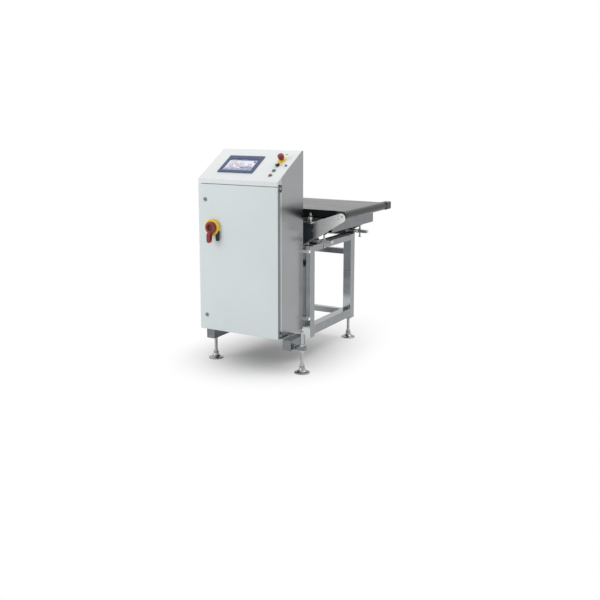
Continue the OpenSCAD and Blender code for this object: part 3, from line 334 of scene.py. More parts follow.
turned_steel = brushed_steel("turned foot", (0.34, 0.34, 0.34), 0.22, TURNED_LINES,
                             edge=FINE_EDGE, contrast=0.5)
spindle_steel = brushed_steel("rolled thread", (0.48, 0.49, 0.49), 0.20, TURNED_LINES, edge=FINE_EDGE)
ground_steel = brushed_steel("ground steel", (0.50, 0.51, 0.52), 0.22, (600.0, 25.0, 600.0),
                             edge=FINE_EDGE)
milled_aluminium = brushed_steel("milled aluminium", (0.58, 0.59, 0.60), 0.34, (25.0, 500.0, 500.0),
                                 edge=0.001)
weld_steel = brushed_steel("weld seam", (0.46, 0.45, 0.43), 0.30, (160.0, 160.0, 160.0),
                           edge=0.0005, cloud=40.0)
print("steel finishes", wall_steel.name, plated.name)

# %% [markdown]
# ## Paint, plastic and rubber
# Door and lid are powder coated: a fine orange-peel speckle in the bump, hardly any in the
# colour, and paler edges where the coat is thin. Moulded plastic takes the same recipe with a
# coarser grain and more gloss. Making them one function keeps their numbers side by side.

# %% Coats and plastics
THIN_GAIN, THIN_LIFT = 1.15, 0.03  # how the colour changes where the coat is thin
COAT_SHEEN = (-0.06, 0.08)
SPECKLE_HEIGHT = 0.0003
COAT_DUST = (0.62, 0.61, 0.58)


def coat(name, colour, roughness, grain=900.0, depth=0.08, edge=0.002, wear=1.6, cloud=3.0,
         vary=0.05, dust=0.12, gloss=0.0, fold_shade=1.0):
    """A coat over a smooth body; fold is painted shade, the share of the colour kept on folds that face
    along X.
    """
    material, tree, shader = start_material(name, colour, roughness)
    spots = use_group(tree, speckle_group, Grain_Size=grain, Cloud_Size=cloud)
    edges = use_group(tree, edge_group, Radius=edge, Wear=wear)
    settled = use_group(tree, dust_group, Amount=dust)
    shade = tuple(c * (1.0 - vary) for c in colour)
    light = tuple(min(1.0, c * (1.0 + vary)) for c in colour)
    thin = tuple(min(1.0, c * THIN_GAIN + THIN_LIFT) for c in colour)
    body = mix_colours(tree, spots.outputs["Cloud"], shade, light)
    worn = mix_colours(tree, math_node(tree, "MULTIPLY", edges.outputs["Edge"], POLISH), body, thin)
    dust_and_painted_light = mix_colours(tree, settled.outputs["Dust"], worn, COAT_DUST)
    # Painted shade: folds that face along X keep only the share fold of the colour.
    if fold_shade < 1.0:
        dust_and_painted_light = mix_colours(tree, x_facing_shade_mask(tree), dust_and_painted_light, tuple(c * fold_shade for c in colour))
    tree.links.new(dust_and_painted_light, shader.inputs["Base Color"])
    low, high = (roughness + change for change in COAT_SHEEN)
    tree.links.new(spread(tree, spots.outputs["Speckle"], low, high), shader.inputs["Roughness"])
    shader.inputs["Coat Weight"].default_value = gloss
    bump(tree, shader, spots.outputs["Speckle"], edges.outputs["Normal"], depth, SPECKLE_HEIGHT)
    return material


# The door's folds along X get painted shade and keep 0.30 of the colour.
door_paint = coat("door powder coat", (0.755, 0.825, 0.84), 0.30, edge=0.003, fold_shade=0.30)
lid_paint = coat("lid powder coat", (0.83, 0.86, 0.86), 0.34, edge=0.004, dust=0.03)
# The bay covers' near-black coat is partly their own black and partly painted shade for the bays behind the
# side plates.
bay_shade_coat = coat("black powder coat", (0.045, 0.056, 0.064), 0.36, dust=0.2)
bed_coat = coat("black slider bed", (0.006, 0.007, 0.008), 0.70, dust=0.02)
bed_coat.node_tree.nodes["Principled BSDF"].inputs["Specular IOR Level"].default_value = 0.2
rubber = coat("black rubber", (0.020, 0.020, 0.020), 0.75, grain=700.0, depth=0.2, edge=0.001, vary=0.2)
print("coats", door_paint.name, bay_shade_coat.name)

# %% Moulded plastics
DARK = dict(edge=0.001, vary=0.2)
DEVICE = dict(grain=1200.0, edge=0.001)
BUTTON = dict(edge=0.001, gloss=0.3, vary=0.10, dust=0.03)
black_plastic = coat("black plastic", (0.012, 0.012, 0.014), 0.40, grain=1400.0, **DARK)
dark_plastic = coat("dark device plastic", (0.045, 0.048, 0.052), 0.48, grain=1200.0, **DARK)
hinge_lacquer = coat("dark hinge lacquer", (0.10, 0.105, 0.11), 0.36, grain=1100.0, edge=0.001, vary=0.15)
grey_plastic = coat("grey device plastic", (0.45, 0.47, 0.48), 0.50, **DEVICE)
pale_plastic = coat("pale device plastic", (0.62, 0.63, 0.60), 0.46, **DEVICE)
blue_plastic = coat("blue display frame", (0.028, 0.054, 0.155), 0.30,
                    edge=0.0015, gloss=0.2, vary=0.08, dust=0.02)
yellow_plastic = coat("yellow switch plastic", (0.93, 0.66, 0.07), 0.34,
                      edge=0.0012, gloss=0.3, vary=0.06, dust=0.03)
red_plastic = coat("red switch plastic", (0.25, 0.014, 0.010), 0.32,
                   edge=0.002, gloss=0.15, vary=0.12, dust=0.04)
# Painted shade: the knob's recess is dark red.
recess_shade_red = coat("dark red recess, painted shade", (0.055, 0.008, 0.007), 0.45, edge=0.001, vary=0.15, dust=0.02)
button_red = coat("red button plastic", (0.24, 0.018, 0.020), 0.30, **BUTTON)
green_plastic = coat("green button plastic", (0.025, 0.14, 0.045), 0.32, **BUTTON)
button_blue = coat("blue button plastic", (0.06, 0.11, 0.42), 0.30, **BUTTON)
screen_face = coat("display face", (0.78, 0.80, 0.92), 0.16, grain=300.0, depth=0.01, edge=0.0004,
                   wear=0.5, vary=0.02, dust=0.0, gloss=0.5)
lamp_lens = coat("lamp lens", (0.50, 0.82, 0.58), 0.18, grain=500.0, depth=0.02, edge=0.001, gloss=0.6)
print("plastics", red_plastic.name, lamp_lens.name)

# %% [markdown]
# ## The belt
# A weighing belt is a thin woven cloth with a smooth dark coat. Its top looks grey in the
# photograph only because it is seen at a grazing angle, so the colour stays dark and the sheen
# comes from the gloss. Two crossed wave textures give the weave that shows through the coat.

# %% Belt
WEAVE = 260.0  # waves in a metre
belt_coat, tree, shader = start_material("belt coat", (0.020, 0.021, 0.022), 0.28)
shader.inputs["IOR"].default_value = 1.36
place = tree.nodes.new("ShaderNodeTexCoord")
waves = []
for direction in ("X", "Y"):
    wave = add_node(tree, "ShaderNodeTexWave", Scale=WEAVE, Distortion=0.4, Detail=1.0)
    wave.bands_direction = direction
    tree.links.new(place.outputs["Object"], wave.inputs["Vector"])
    waves.append(wave.outputs["Fac"])
weave = math_node(tree, "MULTIPLY", waves[0], waves[1])
smears = add_node(tree, "ShaderNodeTexNoise", Scale=5.0, Detail=5.0, Roughness=0.6)
tree.links.new(place.outputs["Object"], smears.inputs["Vector"])
smeared = mix_colours(tree, smears.outputs["Fac"], (0.008, 0.009, 0.010), (0.018, 0.019, 0.020))
tree.links.new(smeared, shader.inputs["Base Color"])
tree.links.new(spread(tree, smears.outputs["Fac"], 0.20, 0.34), shader.inputs["Roughness"])
edges = use_group(tree, edge_group, Radius=0.001, Wear=1.0)
bump(tree, shader, weave, edges.outputs["Normal"], 0.10, 0.0002)
print("belt weave of", round(1000 / WEAVE, 1), "mm")

# %% [markdown]
# ## Giving the solids their finishes
# A solid from the construction model is never moved or reshaped here. Only its material slots are
# set, from one table of node names, and the print shows whether a node was forgotten.

# %% Finishes of the solids
finishes = {
    wall_steel: ["cabinet_sides", "cabinet_back", "cabinet_floor", "door_rim"],
    door_paint: ["door"],
    lid_paint: ["operator_panel"],
    lit_shaded_upright_steel: ["legs"],
    bar_steel: ["mounting_bars"],
    shaded_rail_steel: ["side_rails"],
    shaded_beam_steel: ["end_beams"],
    cross_steel: ["cross_rails"],
    shaded_arm_steel: ["foot_frame"],
    lit_plate_steel: ["side_plates"],
    galvanised: ["mounting_plate"],
    plated: ["din_rails", "cable_glands", "foot_nuts", "threaded_rods"],
    dark_plated: ["upper_lock", "lower_lock"],
    turned_steel: ["foot_bases", "switch_shaft", "control_rings", "lock_housings"],
    spindle_steel: ["front_left_spindle", "front_right_spindle", "rear_left_spindle", "rear_right_spindle"],
    ground_steel: ["drive_drum", "idler_drum", "drum_axles"],
    milled_aluminium: ["load_cells"],
    grey_plastic: ["cable_ducts", "power_supply", "terminal_blocks"],
    pale_plastic: ["weigh_controller"],
    dark_plastic: ["main_switch_body", "motor_drive", "panel_housings"],
    hinge_lacquer: ["fixed_hinges"],
    black_plastic: ["bearing_blocks", "motor_head", "padlock_hasp", "selector_knob", "cell_spacers"],
    bay_shade_coat: ["bay_covers"],
    bed_coat: ["slider_bed"],
    rubber: ["door_seal", "load_pads"],
    belt_coat: ["conveyor_belt"],
    blue_plastic: ["display_bezel"],
    button_blue: ["reset_button"],
    screen_face: ["display_screen"],
    yellow_plastic: ["e_stop_ring", "switch_plate"],
    red_plastic: ["e_stop_head", "switch_handle"],
    button_red: ["stop_button"],
    green_plastic: ["start_button"],
    lamp_lens: ["signal_lamp"],
}
dressed = set()
for finish, names in finishes.items():
    for name in names:
        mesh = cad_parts[name].data
        mesh.materials.clear()
        mesh.materials.append(finish)
        dressed.add(name)
print("dressed", len(dressed), "nodes, left:", sorted(set(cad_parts) - dressed))

# %% [markdown]
# ## Helpers for pieces
# The added pieces are made with bmesh from a few shapes that a workshop knows: a block with
# rounded edges, a turned part from its half profile, and a hexagon or socket screw head. Each
# helper gives a mesh in its own small frame, and a matrix puts it in place.

# %% Piece helpers
SHARP_FROM = math.radians(35)


def finish_piece(name, mesh_data, material, body, smooth=True):
    mesh = bpy.data.meshes.new(name)
    mesh_data.normal_update()
    mesh_data.to_mesh(mesh)
    mesh_data.free()
    mesh.materials.append(material)
    piece = bpy.data.objects.new(name, mesh)
    bpy.context.scene.collection.objects.link(piece)
    if smooth:
        mesh.shade_smooth()
        mesh.set_sharp_from_angle(angle=SHARP_FROM)
    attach(piece, body)


def add_block(mesh_data, size, place, radius=0.0):
    made = bmesh.ops.create_cube(mesh_data, size=1.0)["verts"]
    bmesh.ops.scale(mesh_data, vec=size, verts=made)
    if radius:
        edges = list({e for v in made for e in v.link_edges})
        kept = bmesh.ops.bevel(mesh_data, geom=edges, offset=radius, segments=2, affect="EDGES",
                               profile=0.5)
        made = list({v for f in kept["faces"] for v in f.verts} | {v for v in made if v.is_valid})
    bmesh.ops.transform(mesh_data, matrix=place, verts=made)


def ring_of(mesh_data, place, radius, height, steps):
    """Points on a circle round Z at one height, in the frame that place gives."""
    turns = [2 * math.pi * k / steps for k in range(steps)]
    return [mesh_data.verts.new(place @ Vector((radius * math.cos(t), radius * math.sin(t), height)))
            for t in turns]


def add_turned(mesh_data, profile, place, steps=24):
    rings = []
    for radius, height in profile:
        if radius == 0.0:
            rings.append([mesh_data.verts.new(place @ Vector((0.0, 0.0, height)))])
            continue
        rings.append(ring_of(mesh_data, place, radius, height, steps))
    for low, high in zip(rings, rings[1:]):
        for k in range(steps):
            a, b = low[k % len(low)], low[(k + 1) % len(low)]
            c, d = high[(k + 1) % len(high)], high[k % len(high)]
            corners = []
            for v in (a, b, c, d):
                if v not in corners:
                    corners.append(v)
            if len(corners) > 2:
                mesh_data.faces.new(corners)


PANEL_RISE, PANEL_DEPTH = 0.180, 0.303
SLOPE = math.atan2(PANEL_RISE, PANEL_DEPTH)
BEND_Z = 1.215


def at(x, y, z):
    """A place in the frame, with Y counted from the door's face."""
    return Matrix.Translation((x, y - MID_Y, z))


def on_slope(x, up, out=0.0):
    """X across, Y up the slope and Z out of the sloped panel."""
    return at(x, 0.0, BEND_Z) @ Matrix.Rotation(SLOPE, 4, "X") @ Matrix.Translation((0.0, up, out))


# Turns a shape that stands along Z so that it looks the named way
FACES = {
    "-Y": Matrix.Rotation(math.pi / 2, 4, "X"),
    "+Y": Matrix.Rotation(-math.pi / 2, 4, "X"),
    "+X": Matrix.Rotation(math.pi / 2, 4, "Y"),
    "-Z": Matrix.Rotation(math.pi, 4, "X"),
}
WASHER_SINK, WASHER_TOP = -0.0002, 0.0012


def add_hex_head(mesh_data, place, across, height):
    r = across / math.sqrt(3)
    profile = [(0.0, height), (r * 0.86, height), (r, height * 0.82), (r, 0.0)]
    add_turned(mesh_data, profile[::-1], place, steps=6)
    washer = [(across * 0.62, WASHER_SINK), (across * 0.62, WASHER_TOP), (across * 0.3, WASHER_TOP)]
    add_turned(mesh_data, washer, place, steps=20)


def add_socket_head(mesh_data, place, wide, height):
    r = wide / 2
    profile = [(r, 0.0), (r, height * 0.8), (r * 0.88, height), (r * 0.5, height),
               (r * 0.46, height * 0.45), (0.0, height * 0.45)]
    add_turned(mesh_data, profile, place, steps=20)


print("piece helpers ready")

# %% [markdown]
# ## The picture on the display
# The photograph shows a pale screen with a title strip, a row of large reddish figures and dark
# keys. A made-up weighing page stands in for it: a plain weight in seven-bar figures, small columns
# for how the last weights were spread, and a row of blank keys. Each is a thin piece that lies on
# the glass, so it stays sharp from every side.

# %% Display colours
ink_colours = {
    "frame": ("page strip ink", (0.07, 0.10, 0.27)),
    "figure": ("figure ink", (0.36, 0.07, 0.12)),
    "key": ("key ink", (0.33, 0.37, 0.58)),
    "pale": ("pale field ink", (0.88, 0.88, 0.95)),
    "good": ("green field ink", (0.28, 0.55, 0.33)),
    "warn": ("amber field ink", (0.75, 0.45, 0.20)),
    "dark": ("dark spot ink", (0.035, 0.05, 0.16)),
}
ink = {key: coat(name, colour, 0.3, vary=0.02, dust=0.0, depth=0.0)
       for key, (name, colour) in ink_colours.items()}
BEZEL_X, BEZEL_UP = -0.237, 0.081
BEZEL_SIDE, BEZEL_LOW = 0.026, 0.024
SCREEN_X0, SCREEN_UP0 = BEZEL_X + BEZEL_SIDE, BEZEL_UP + BEZEL_LOW
SCREEN_W, SCREEN_H, SCREEN_OUT = 0.215, 0.129, 0.0035
print("screen is", SCREEN_W, "by", SCREEN_H)

# %% Display page
INK_THICK, LAYER = 0.0003, 0.00016
pages = {key: bmesh.new() for key in ink}


def patch(colour, x0, y0, wide, high, layer=1):
    """A field on the screen, by shares of the screen's width and height."""
    w, h = wide * SCREEN_W, high * SCREEN_H
    middle = on_slope(SCREEN_X0 + x0 * SCREEN_W + w / 2, SCREEN_UP0 + y0 * SCREEN_H + h / 2,
                      SCREEN_OUT + LAYER * layer)
    add_block(pages[colour], (w, h, INK_THICK), middle)


BARS = {"a": (0.12, 0.92, 0.76, 0.08), "g": (0.12, 0.46, 0.76, 0.08), "d": (0.12, 0.0, 0.76, 0.08),
        "f": (0.0, 0.50, 0.14, 0.46), "b": (0.86, 0.50, 0.14, 0.46), "e": (0.0, 0.04, 0.14, 0.46),
        "c": (0.86, 0.04, 0.14, 0.46)}
LIT = {"0": "abcdef", "1": "bc", "2": "abged", "3": "abgcd", "4": "fgbc", "5": "afgcd", "6": "afgedc",
       "7": "abc", "8": "abcdefg", "9": "abcdfg"}


FIGURE_STEP = 1.3  # widths from one figure to the next


def figure(text, colour, x0, y0, wide, high):
    for char in text:
        if char == ".":
            patch(colour, x0 - wide * 0.18, y0, wide * 0.16, high * 0.1, layer=3)
            continue
        for bar in LIT[char]:
            bx, by, bw, bh = BARS[bar]
            patch(colour, x0 + bx * wide, y0 + by * high, bw * wide, bh * high, layer=3)
        x0 += wide * FIGURE_STEP


patch("frame", 0.0, 0.86, 1.0, 0.14)
figure("0104", "pale", 0.05, 0.89, 0.034, 0.08)
figure("07.30", "pale", 0.42, 0.89, 0.034, 0.08)
patch("pale", 0.03, 0.30, 0.94, 0.52)
figure("250.0", "key", 0.07, 0.68, 0.045, 0.10)
figure("12", "key", 0.42, 0.68, 0.045, 0.10)
figure("0250.4", "figure", 0.10, 0.43, 0.080, 0.19)
figure("0.4", "dark", 0.76, 0.43, 0.055, 0.13)
figure("1000", "dark", 0.07, 0.325, 0.035, 0.07)
patch("key", 0.36, 0.33, 0.56, 0.06, layer=2)
for k in range(12):
    level = 0.02 + 0.08 * math.exp(-((k - 5.5) / 2.6) ** 2)
    patch("good" if 2 < k < 9 else "warn", 0.05 + 0.036 * k, 0.19, 0.026, level, layer=2)
patch("frame", 0.55, 0.19, 0.42, 0.09)
figure("0100", "pale", 0.60, 0.205, 0.032, 0.06)
figure("250", "pale", 0.79, 0.205, 0.032, 0.06)
for k in range(5):
    patch("key", 0.03 + 0.192 * k, 0.04, 0.17, 0.12)
SPOT_X, SPOT_Y = 0.918, 0.72
for k in range(24):
    angle = 2 * math.pi * k / 24
    patch("dark", SPOT_X + 0.030 * math.cos(angle), SPOT_Y + 0.040 * math.sin(angle), 0.024, 0.04, layer=3)
patch("dark", SPOT_X - 0.013, SPOT_Y - 0.015, 0.05, 0.07, layer=3)
for key, data in pages.items():
    finish_piece("screen_" + key, data, ink[key], "stand", smooth=False)
print("display page of", len(pages), "inks")

# %% [markdown]
# ## Screw heads
# The photograph is too small to show most screws, but a machine like this is held by them: cap
# screws through the load cells, button heads round the bays of the side plates, hexagon bolts in
# the joining bars, countersunk heads in the hinges. All heads of one finish on one body are one
# mesh, so the object list stays short.

# %% Screw heads on the stand
LEG_X = 0.274
CELL_YS, CELL_TOP = (0.446, 1.000), 0.813
PLATE_FRONT, PLATE_BACK = 0.415, 1.075
DRUM_X, DRUM_Z = 0.4992, 0.9772
BAR_BOLT_Y = 0.320
PLATE_SCREWS = ((0.060, 0.918), (0.160, 0.918), (0.252, 0.918), (0.2805, 0.865), (0.060, 0.751),
                (0.160, 0.751))
# Each head has its width and its height
CAP_HEAD, BUTTON_HEAD, BLOCK_HEAD = (0.013, 0.008), (0.009, 0.0028), (0.009, 0.004)
AXLE_BOLT, BAR_BOLT = (0.013, 0.0055), (0.013, 0.0065)
heads = bmesh.new()
for side in (-1, 1):
    for y in CELL_YS:
        for dx in (-0.014, 0.014):
            add_socket_head(heads, at(side * (LEG_X + dx), y, CELL_TOP), *CAP_HEAD)
    for y, face in ((PLATE_FRONT, "-Y"), (PLATE_BACK, "+Y")):
        for x, z in PLATE_SCREWS:
            add_socket_head(heads, at(side * x, y, z) @ FACES[face], *BUTTON_HEAD)
        add_hex_head(heads, at(side * (DRUM_X - 0.002), y, DRUM_Z - 0.006) @ FACES[face], *AXLE_BOLT)
        for dz in (-0.002, -0.024):
            add_socket_head(heads, at(side * (DRUM_X - 0.030), y, DRUM_Z + dz) @ FACES[face], *BLOCK_HEAD)
    for x in (0.10, 0.20):
        for z in (0.284, 0.738):
            add_hex_head(heads, at(side * x, BAR_BOLT_Y, z) @ FACES["-Y"], *BAR_BOLT)
finish_piece("stand_screws", heads, plated, "stand")

# %% Screw heads on hinges and drive
HINGE_HEAD, DRIVE_HEAD = (0.006, 0.0012), (0.0056, 0.0040)
HINGE_ZS, DRIVE_BACK = (0.239, 1.1742), 1.1442
HINGE_STEP, DRIVE_STEP = 0.013, 0.01783  # from the middle to a screw
small = bmesh.new()
for z in HINGE_ZS:
    for dz in (-HINGE_STEP, HINGE_STEP):
        add_socket_head(small, at(0.2625, 0.041, z + dz) @ FACES["+X"], *HINGE_HEAD)
for dx in (-DRIVE_STEP, DRIVE_STEP):
    for dz in (-DRIVE_STEP, DRIVE_STEP):
        add_socket_head(small, at(DRUM_X + dx, DRIVE_BACK, DRUM_Z + dz) @ FACES["+Y"], *DRIVE_HEAD)
finish_piece("dark_screws", small, dark_plated, "stand")

# %% [markdown]
# ## Weld seams
# The stand is welded from square tube. A weld is a row of small overlapping drops, so a bead is
# swept along each joint with a radius that swells and shrinks once per drop. It sits in the corner
# between the two tubes, and half of it is buried, as on the real joint.

# %% Weld helper
DROP = 0.004


def add_bead(mesh_data, start, end, radius=0.0024, sides=7):
    """A weld from start to end, both with Y counted from the door's face."""
    a, b = at(*start).translation, at(*end).translation
    along = (b - a).normalized()
    turn = along.to_track_quat("Z", "Y").to_matrix().to_4x4()
    count = max(4, round((b - a).length / DROP * 3))
    rings = []
    for k in range(count + 1):
        swell = radius * (0.72 + 0.28 * abs(math.sin(math.pi * k / 3 + 0.4)) + random.uniform(-0.05, 0.05))
        middle = Matrix.Translation(a.lerp(b, k / count)) @ turn
        rings.append(ring_of(mesh_data, middle, swell, 0.0, sides))
    for low, high in zip(rings, rings[1:]):
        for s in range(sides):
            mesh_data.faces.new((low[s], low[(s + 1) % sides], high[(s + 1) % sides], high[s]))
    mesh_data.faces.new(rings[0][::-1])
    mesh_data.faces.new(rings[-1])


def weld_round(mesh_data, low, high, axis, place):
    """Welds round the four sides of a tube's end that meets a face at one place on its axis."""
    first, second = [k for k in range(3) if k != axis]
    corners = []
    for u, v in ((low[first], low[second]), (high[first], low[second]), (high[first], high[second]),
                 (low[first], high[second])):
        corner = [0.0, 0.0, 0.0]
        corner[axis], corner[first], corner[second] = place, u, v
        corners.append(corner)
    for k in range(4):
        add_bead(mesh_data, corners[k], corners[(k + 1) % 4])


print("a drop is", DROP * 1000, "mm long")

# %% Weld seams
LEG_HALF, CROSS_HALF = 0.030, 0.020
RAIL_HEIGHTS, RAIL_ENDS = ((0.732, 0.772), (0.165, 0.225)), (0.404, 0.958)
CROSS_HEIGHTS, CROSS_YS = ((0.622, 0.662), (0.170, 0.210)), (0.374, 0.988)
LUG_LOW, LUG_HIGH, LUG_X = (0, 0.058, 0.150), (0, 0.096, 0.174), 0.343
TIE_LOW, TIE_HIGH, TIE_XS = (0, 0.137, 0.180), (0, 0.197, 0.215), (-0.244, 0.283)
seams = bmesh.new()
for side in (-1, 1):
    x0, x1 = side * LEG_X - LEG_HALF, side * LEG_X + LEG_HALF
    for z0, z1 in RAIL_HEIGHTS:
        for y in RAIL_ENDS:
            weld_round(seams, (x0, 0, z0), (x1, 0, z1), 1, y)
    for y in CROSS_YS:
        for z0, z1 in CROSS_HEIGHTS:
            weld_round(seams, (0, y - CROSS_HALF, z0), (0, y + CROSS_HALF, z1), 0,
                       side * (LEG_X - LEG_HALF))
weld_round(seams, LUG_LOW, LUG_HIGH, 0, LUG_X)
for x in TIE_XS:
    weld_round(seams, TIE_LOW, TIE_HIGH, 0, x)
finish_piece("weld_seams", seams, weld_steel, "stand")

# %% [markdown]
# ## Threads
# Feet and studs are threaded rods. In the construction model they are plain bars at the thread's
# full width, which is enough for fits. The thread itself is a ridge with a triangular section,
# wound round the bar only where the bar is bare, so nothing reaches into a nut.

# %% Thread helper
ROOT = 0.0003  # how deep the ridge's foot is in the bar
RUN_OUT = 0.0001  # how high the ridge still is at its ends


def add_thread(mesh_data, x, y, low, high, radius, pitch, depth, steps=14):
    """A thread from one height to another, with Y counted from the door's face."""
    count = int((high - low - pitch) / pitch * steps)
    rings = []
    for k in range(count + 1):
        angle = 2 * math.pi * k / steps
        crest = depth * min(1.0, k / steps, (count - k) / steps) + RUN_OUT
        z = low + pitch * k / steps
        section = ((radius - ROOT, z), (radius + crest, z + pitch * 0.5), (radius - ROOT, z + pitch))
        rings.append([mesh_data.verts.new(
            at(x + r * math.cos(angle), y + r * math.sin(angle), h).translation) for r, h in section])
    for near, far in zip(rings, rings[1:]):
        for s in range(3):
            mesh_data.faces.new((near[s], far[s], far[(s + 1) % 3], near[(s + 1) % 3]))
    mesh_data.faces.new(rings[0])
    mesh_data.faces.new(rings[-1][::-1])


# Each thread has its radius, its pitch and its depth
FOOT_THREAD = (0.010, 0.0025, 0.0007)
LOAD_THREAD, STUD_THREAD = (0.006, 0.00175, 0.0005), (0.005, 0.0015, 0.0004)
FOOT_Y, RIGHT_FOOT_X, REAR_Y = 0.077, 0.391, 0.988
UNDER_NUT, OVER_LUG = (0.058, 0.137), (0.187, 0.2705)
for name, x, y, spans in (
        ("front_left_spindle", -LEG_X, FOOT_Y, (UNDER_NUT,)),
        ("front_right_spindle", RIGHT_FOOT_X, FOOT_Y, (UNDER_NUT, OVER_LUG)),
        ("rear_left_spindle", -LEG_X, REAR_Y, (UNDER_NUT,)),
        ("rear_right_spindle", LEG_X, REAR_Y, (UNDER_NUT,))):
    ridge = bmesh.new()
    for low, high in spans:
        add_thread(ridge, x, y, low, high, *FOOT_THREAD)
    finish_piece(name + "_thread", ridge, spindle_steel, name, smooth=False)
print("threads on four feet")

# %% Threads of screws and studs
LOAD_X, LOAD_SPANS = 0.352, ((0.7605, 0.7835), (0.8125, 0.8415))
STUD_X, STUD_YS, STUD_SPAN = 0.271, (0.404, 1.086), (0.9745, 0.9835)
ridge = bmesh.new()
for side in (-1, 1):
    for y in CELL_YS:
        for low, high in LOAD_SPANS:
            add_thread(ridge, side * LOAD_X, y, low, high, *LOAD_THREAD, steps=12)
    for y in STUD_YS:
        add_thread(ridge, side * STUD_X, y, *STUD_SPAN, *STUD_THREAD, steps=12)
finish_piece("stud_threads", ridge, plated, "stand", smooth=False)

# %% [markdown]
# ## Small things on the controls
# The red knob has a hollow face in dark red, painted shade for its recess, the selector a white pointer,
# the belt one slanted splice, and each cable gland a rubber seal. They are thin, so each is set a
# fraction of a millimetre proud of its solid.

# %% Knob, pointer, splice and seals
SWITCH_X, SWITCH_Z, KNOB_FRONT = -0.226, 0.905, -0.0320
SELECTOR_X, SELECTOR_UP, SELECTOR_OUT = 0.172, 0.174, 0.0155
SPLICE_X, BELT_MID_Y, BELT_TOP = -0.16, 0.745, 1.00505
GLAND_X0, GLAND_STEP, GLAND_Y, GLAND_Z = -0.340, 0.050, 0.252, 0.191
# The knob's hollow face is dark red as painted shade in its recess.
hollow = bmesh.new()
hollow_profile = [(0.0172, -0.0006), (0.0172, 0.0004), (0.0150, 0.0009), (0.0125, 0.0004),
                  (0.0, 0.0004)]
add_turned(hollow, hollow_profile,
           at(SWITCH_X, KNOB_FRONT, SWITCH_Z) @ FACES["-Y"], steps=40)
finish_piece("knob_hollow", hollow, recess_shade_red, "switch_handle")
pointer = bmesh.new()
on_knob = on_slope(SELECTOR_X, SELECTOR_UP, SELECTOR_OUT) @ Matrix.Rotation(-math.pi / 4, 4, "Z")
add_block(pointer, (0.0016, 0.0100, 0.0005), on_knob @ Matrix.Translation((0.0, 0.0075, 0.0002)))
finish_piece("selector_pointer", pointer, pale_plastic, "selector", smooth=False)
splice = bmesh.new()
turned = at(SPLICE_X, BELT_MID_Y, BELT_TOP) @ Matrix.Rotation(math.radians(8), 4, "Z")
add_block(splice, (0.0022, 0.618, 0.0003), turned)
finish_piece("belt_splice", splice, black_plastic, "stand", smooth=False)
seals = bmesh.new()
seal_profile = [(0.0078, 0.0), (0.0078, 0.0011), (0.0092, 0.0014), (0.0108, 0.0006), (0.0108, 0.0)]
for k in (3, 4, 5):
    place = at(GLAND_X0 + GLAND_STEP * k, GLAND_Y, GLAND_Z) @ FACES["-Z"]
    add_turned(seals, seal_profile, place, steps=28)
finish_piece("gland_seals", seals, rubber, "stand")
print("knob hollow, pointer, splice and gland seals")

# %% [markdown]
# ## Faces of the devices
# With the door open one looks at the devices on their rails. Real ones have cooling slits, clamp
# screws and small lamps, so each device gets these on its face, one mesh for each colour.

# %% Device faces
DEVICE_Z, TERMINAL_Z = 0.6845, 0.365
SUPPLY_X, SUPPLY_FRONT, DRIVE_X, DRIVE_FRONT = -0.2075, 0.1735, -0.1025, 0.1555
WEIGHER_X, WEIGHER_FRONT = 0.045, 0.2235
TERMINAL_X, TERMINAL_STEP, TERMINAL_FRONT = -0.156, 0.008, 0.2395
SWITCH_FRONT = 0.2275
LABEL_OUT, LABEL_ROUND = 0.0008, 0.0003
slits, clamps, lamps, labels = bmesh.new(), bmesh.new(), bmesh.new(), bmesh.new()


def face_block(mesh_data, x, front, z, wide, high, proud=LABEL_OUT):
    add_block(mesh_data, (wide, proud * 2, high), at(x, front, z), LABEL_ROUND)


def clamp_screw(x, front, z, radius, height, steps=14):
    place = at(x, front, z) @ FACES["-Y"]
    add_turned(clamps, [(radius, 0.0), (radius, height), (0.0, height)], place, steps)


for x, front, wide in ((SUPPLY_X, SUPPLY_FRONT, 0.060), (DRIVE_X, DRIVE_FRONT, 0.070)):
    for k in range(7):
        face_block(slits, x, front, DEVICE_Z + 0.010 + 0.0055 * k, wide, 0.0026)
for x, front, z, window, label in (
        (DRIVE_X, DRIVE_FRONT, DEVICE_Z - 0.018, (0.046, 0.026), (0.034, 0.014)),
        (WEIGHER_X, WEIGHER_FRONT, DEVICE_Z + 0.014, (0.100, 0.034), (0.080, 0.022))):
    face_block(slits, x, front, z, *window)
    face_block(labels, x, front - LABEL_OUT, z, *label, proud=0.0004)
for k in range(5):
    clamp_screw(-0.2275 + 0.010 * k, SUPPLY_FRONT, DEVICE_Z - 0.030, 0.0034, 0.0012)
    face_block(labels, -0.125 + 0.011 * k, DRIVE_FRONT, DEVICE_Z - 0.048, 0.007, 0.007, proud=0.0010)
for k in range(8):
    add_turned(lamps, [(0.0018, 0.0), (0.0018, 0.0010), (0.0009, 0.0016), (0.0, 0.0018)],
               at(-0.005 + 0.014 * k, WEIGHER_FRONT, DEVICE_Z - 0.014) @ FACES["-Y"], steps=12)
for k in range(12):
    clamp_screw(-0.027 + 0.0131 * k, WEIGHER_FRONT, DEVICE_Z - 0.034, 0.0030, 0.0012)
for k in range(30):
    x = TERMINAL_X + TERMINAL_STEP * k
    for dz in (-0.0095, 0.0095):
        clamp_screw(x, TERMINAL_FRONT, TERMINAL_Z + dz, 0.0024, 0.0008, steps=12)
    face_block(labels, x, TERMINAL_FRONT, TERMINAL_Z, 0.0055, 0.0050, proud=0.0006)
for dx in (-0.024, 0.0, 0.024):
    for dz in (-0.032, 0.032):
        clamp_screw(SWITCH_X + dx, SWITCH_FRONT, SWITCH_Z + dz, 0.0045, 0.0014, steps=16)
finish_piece("device_slits", slits, black_plastic, "stand", smooth=False)
finish_piece("clamp_screws", clamps, plated, "stand")
finish_piece("status_lamps", lamps, lamp_lens, "stand")
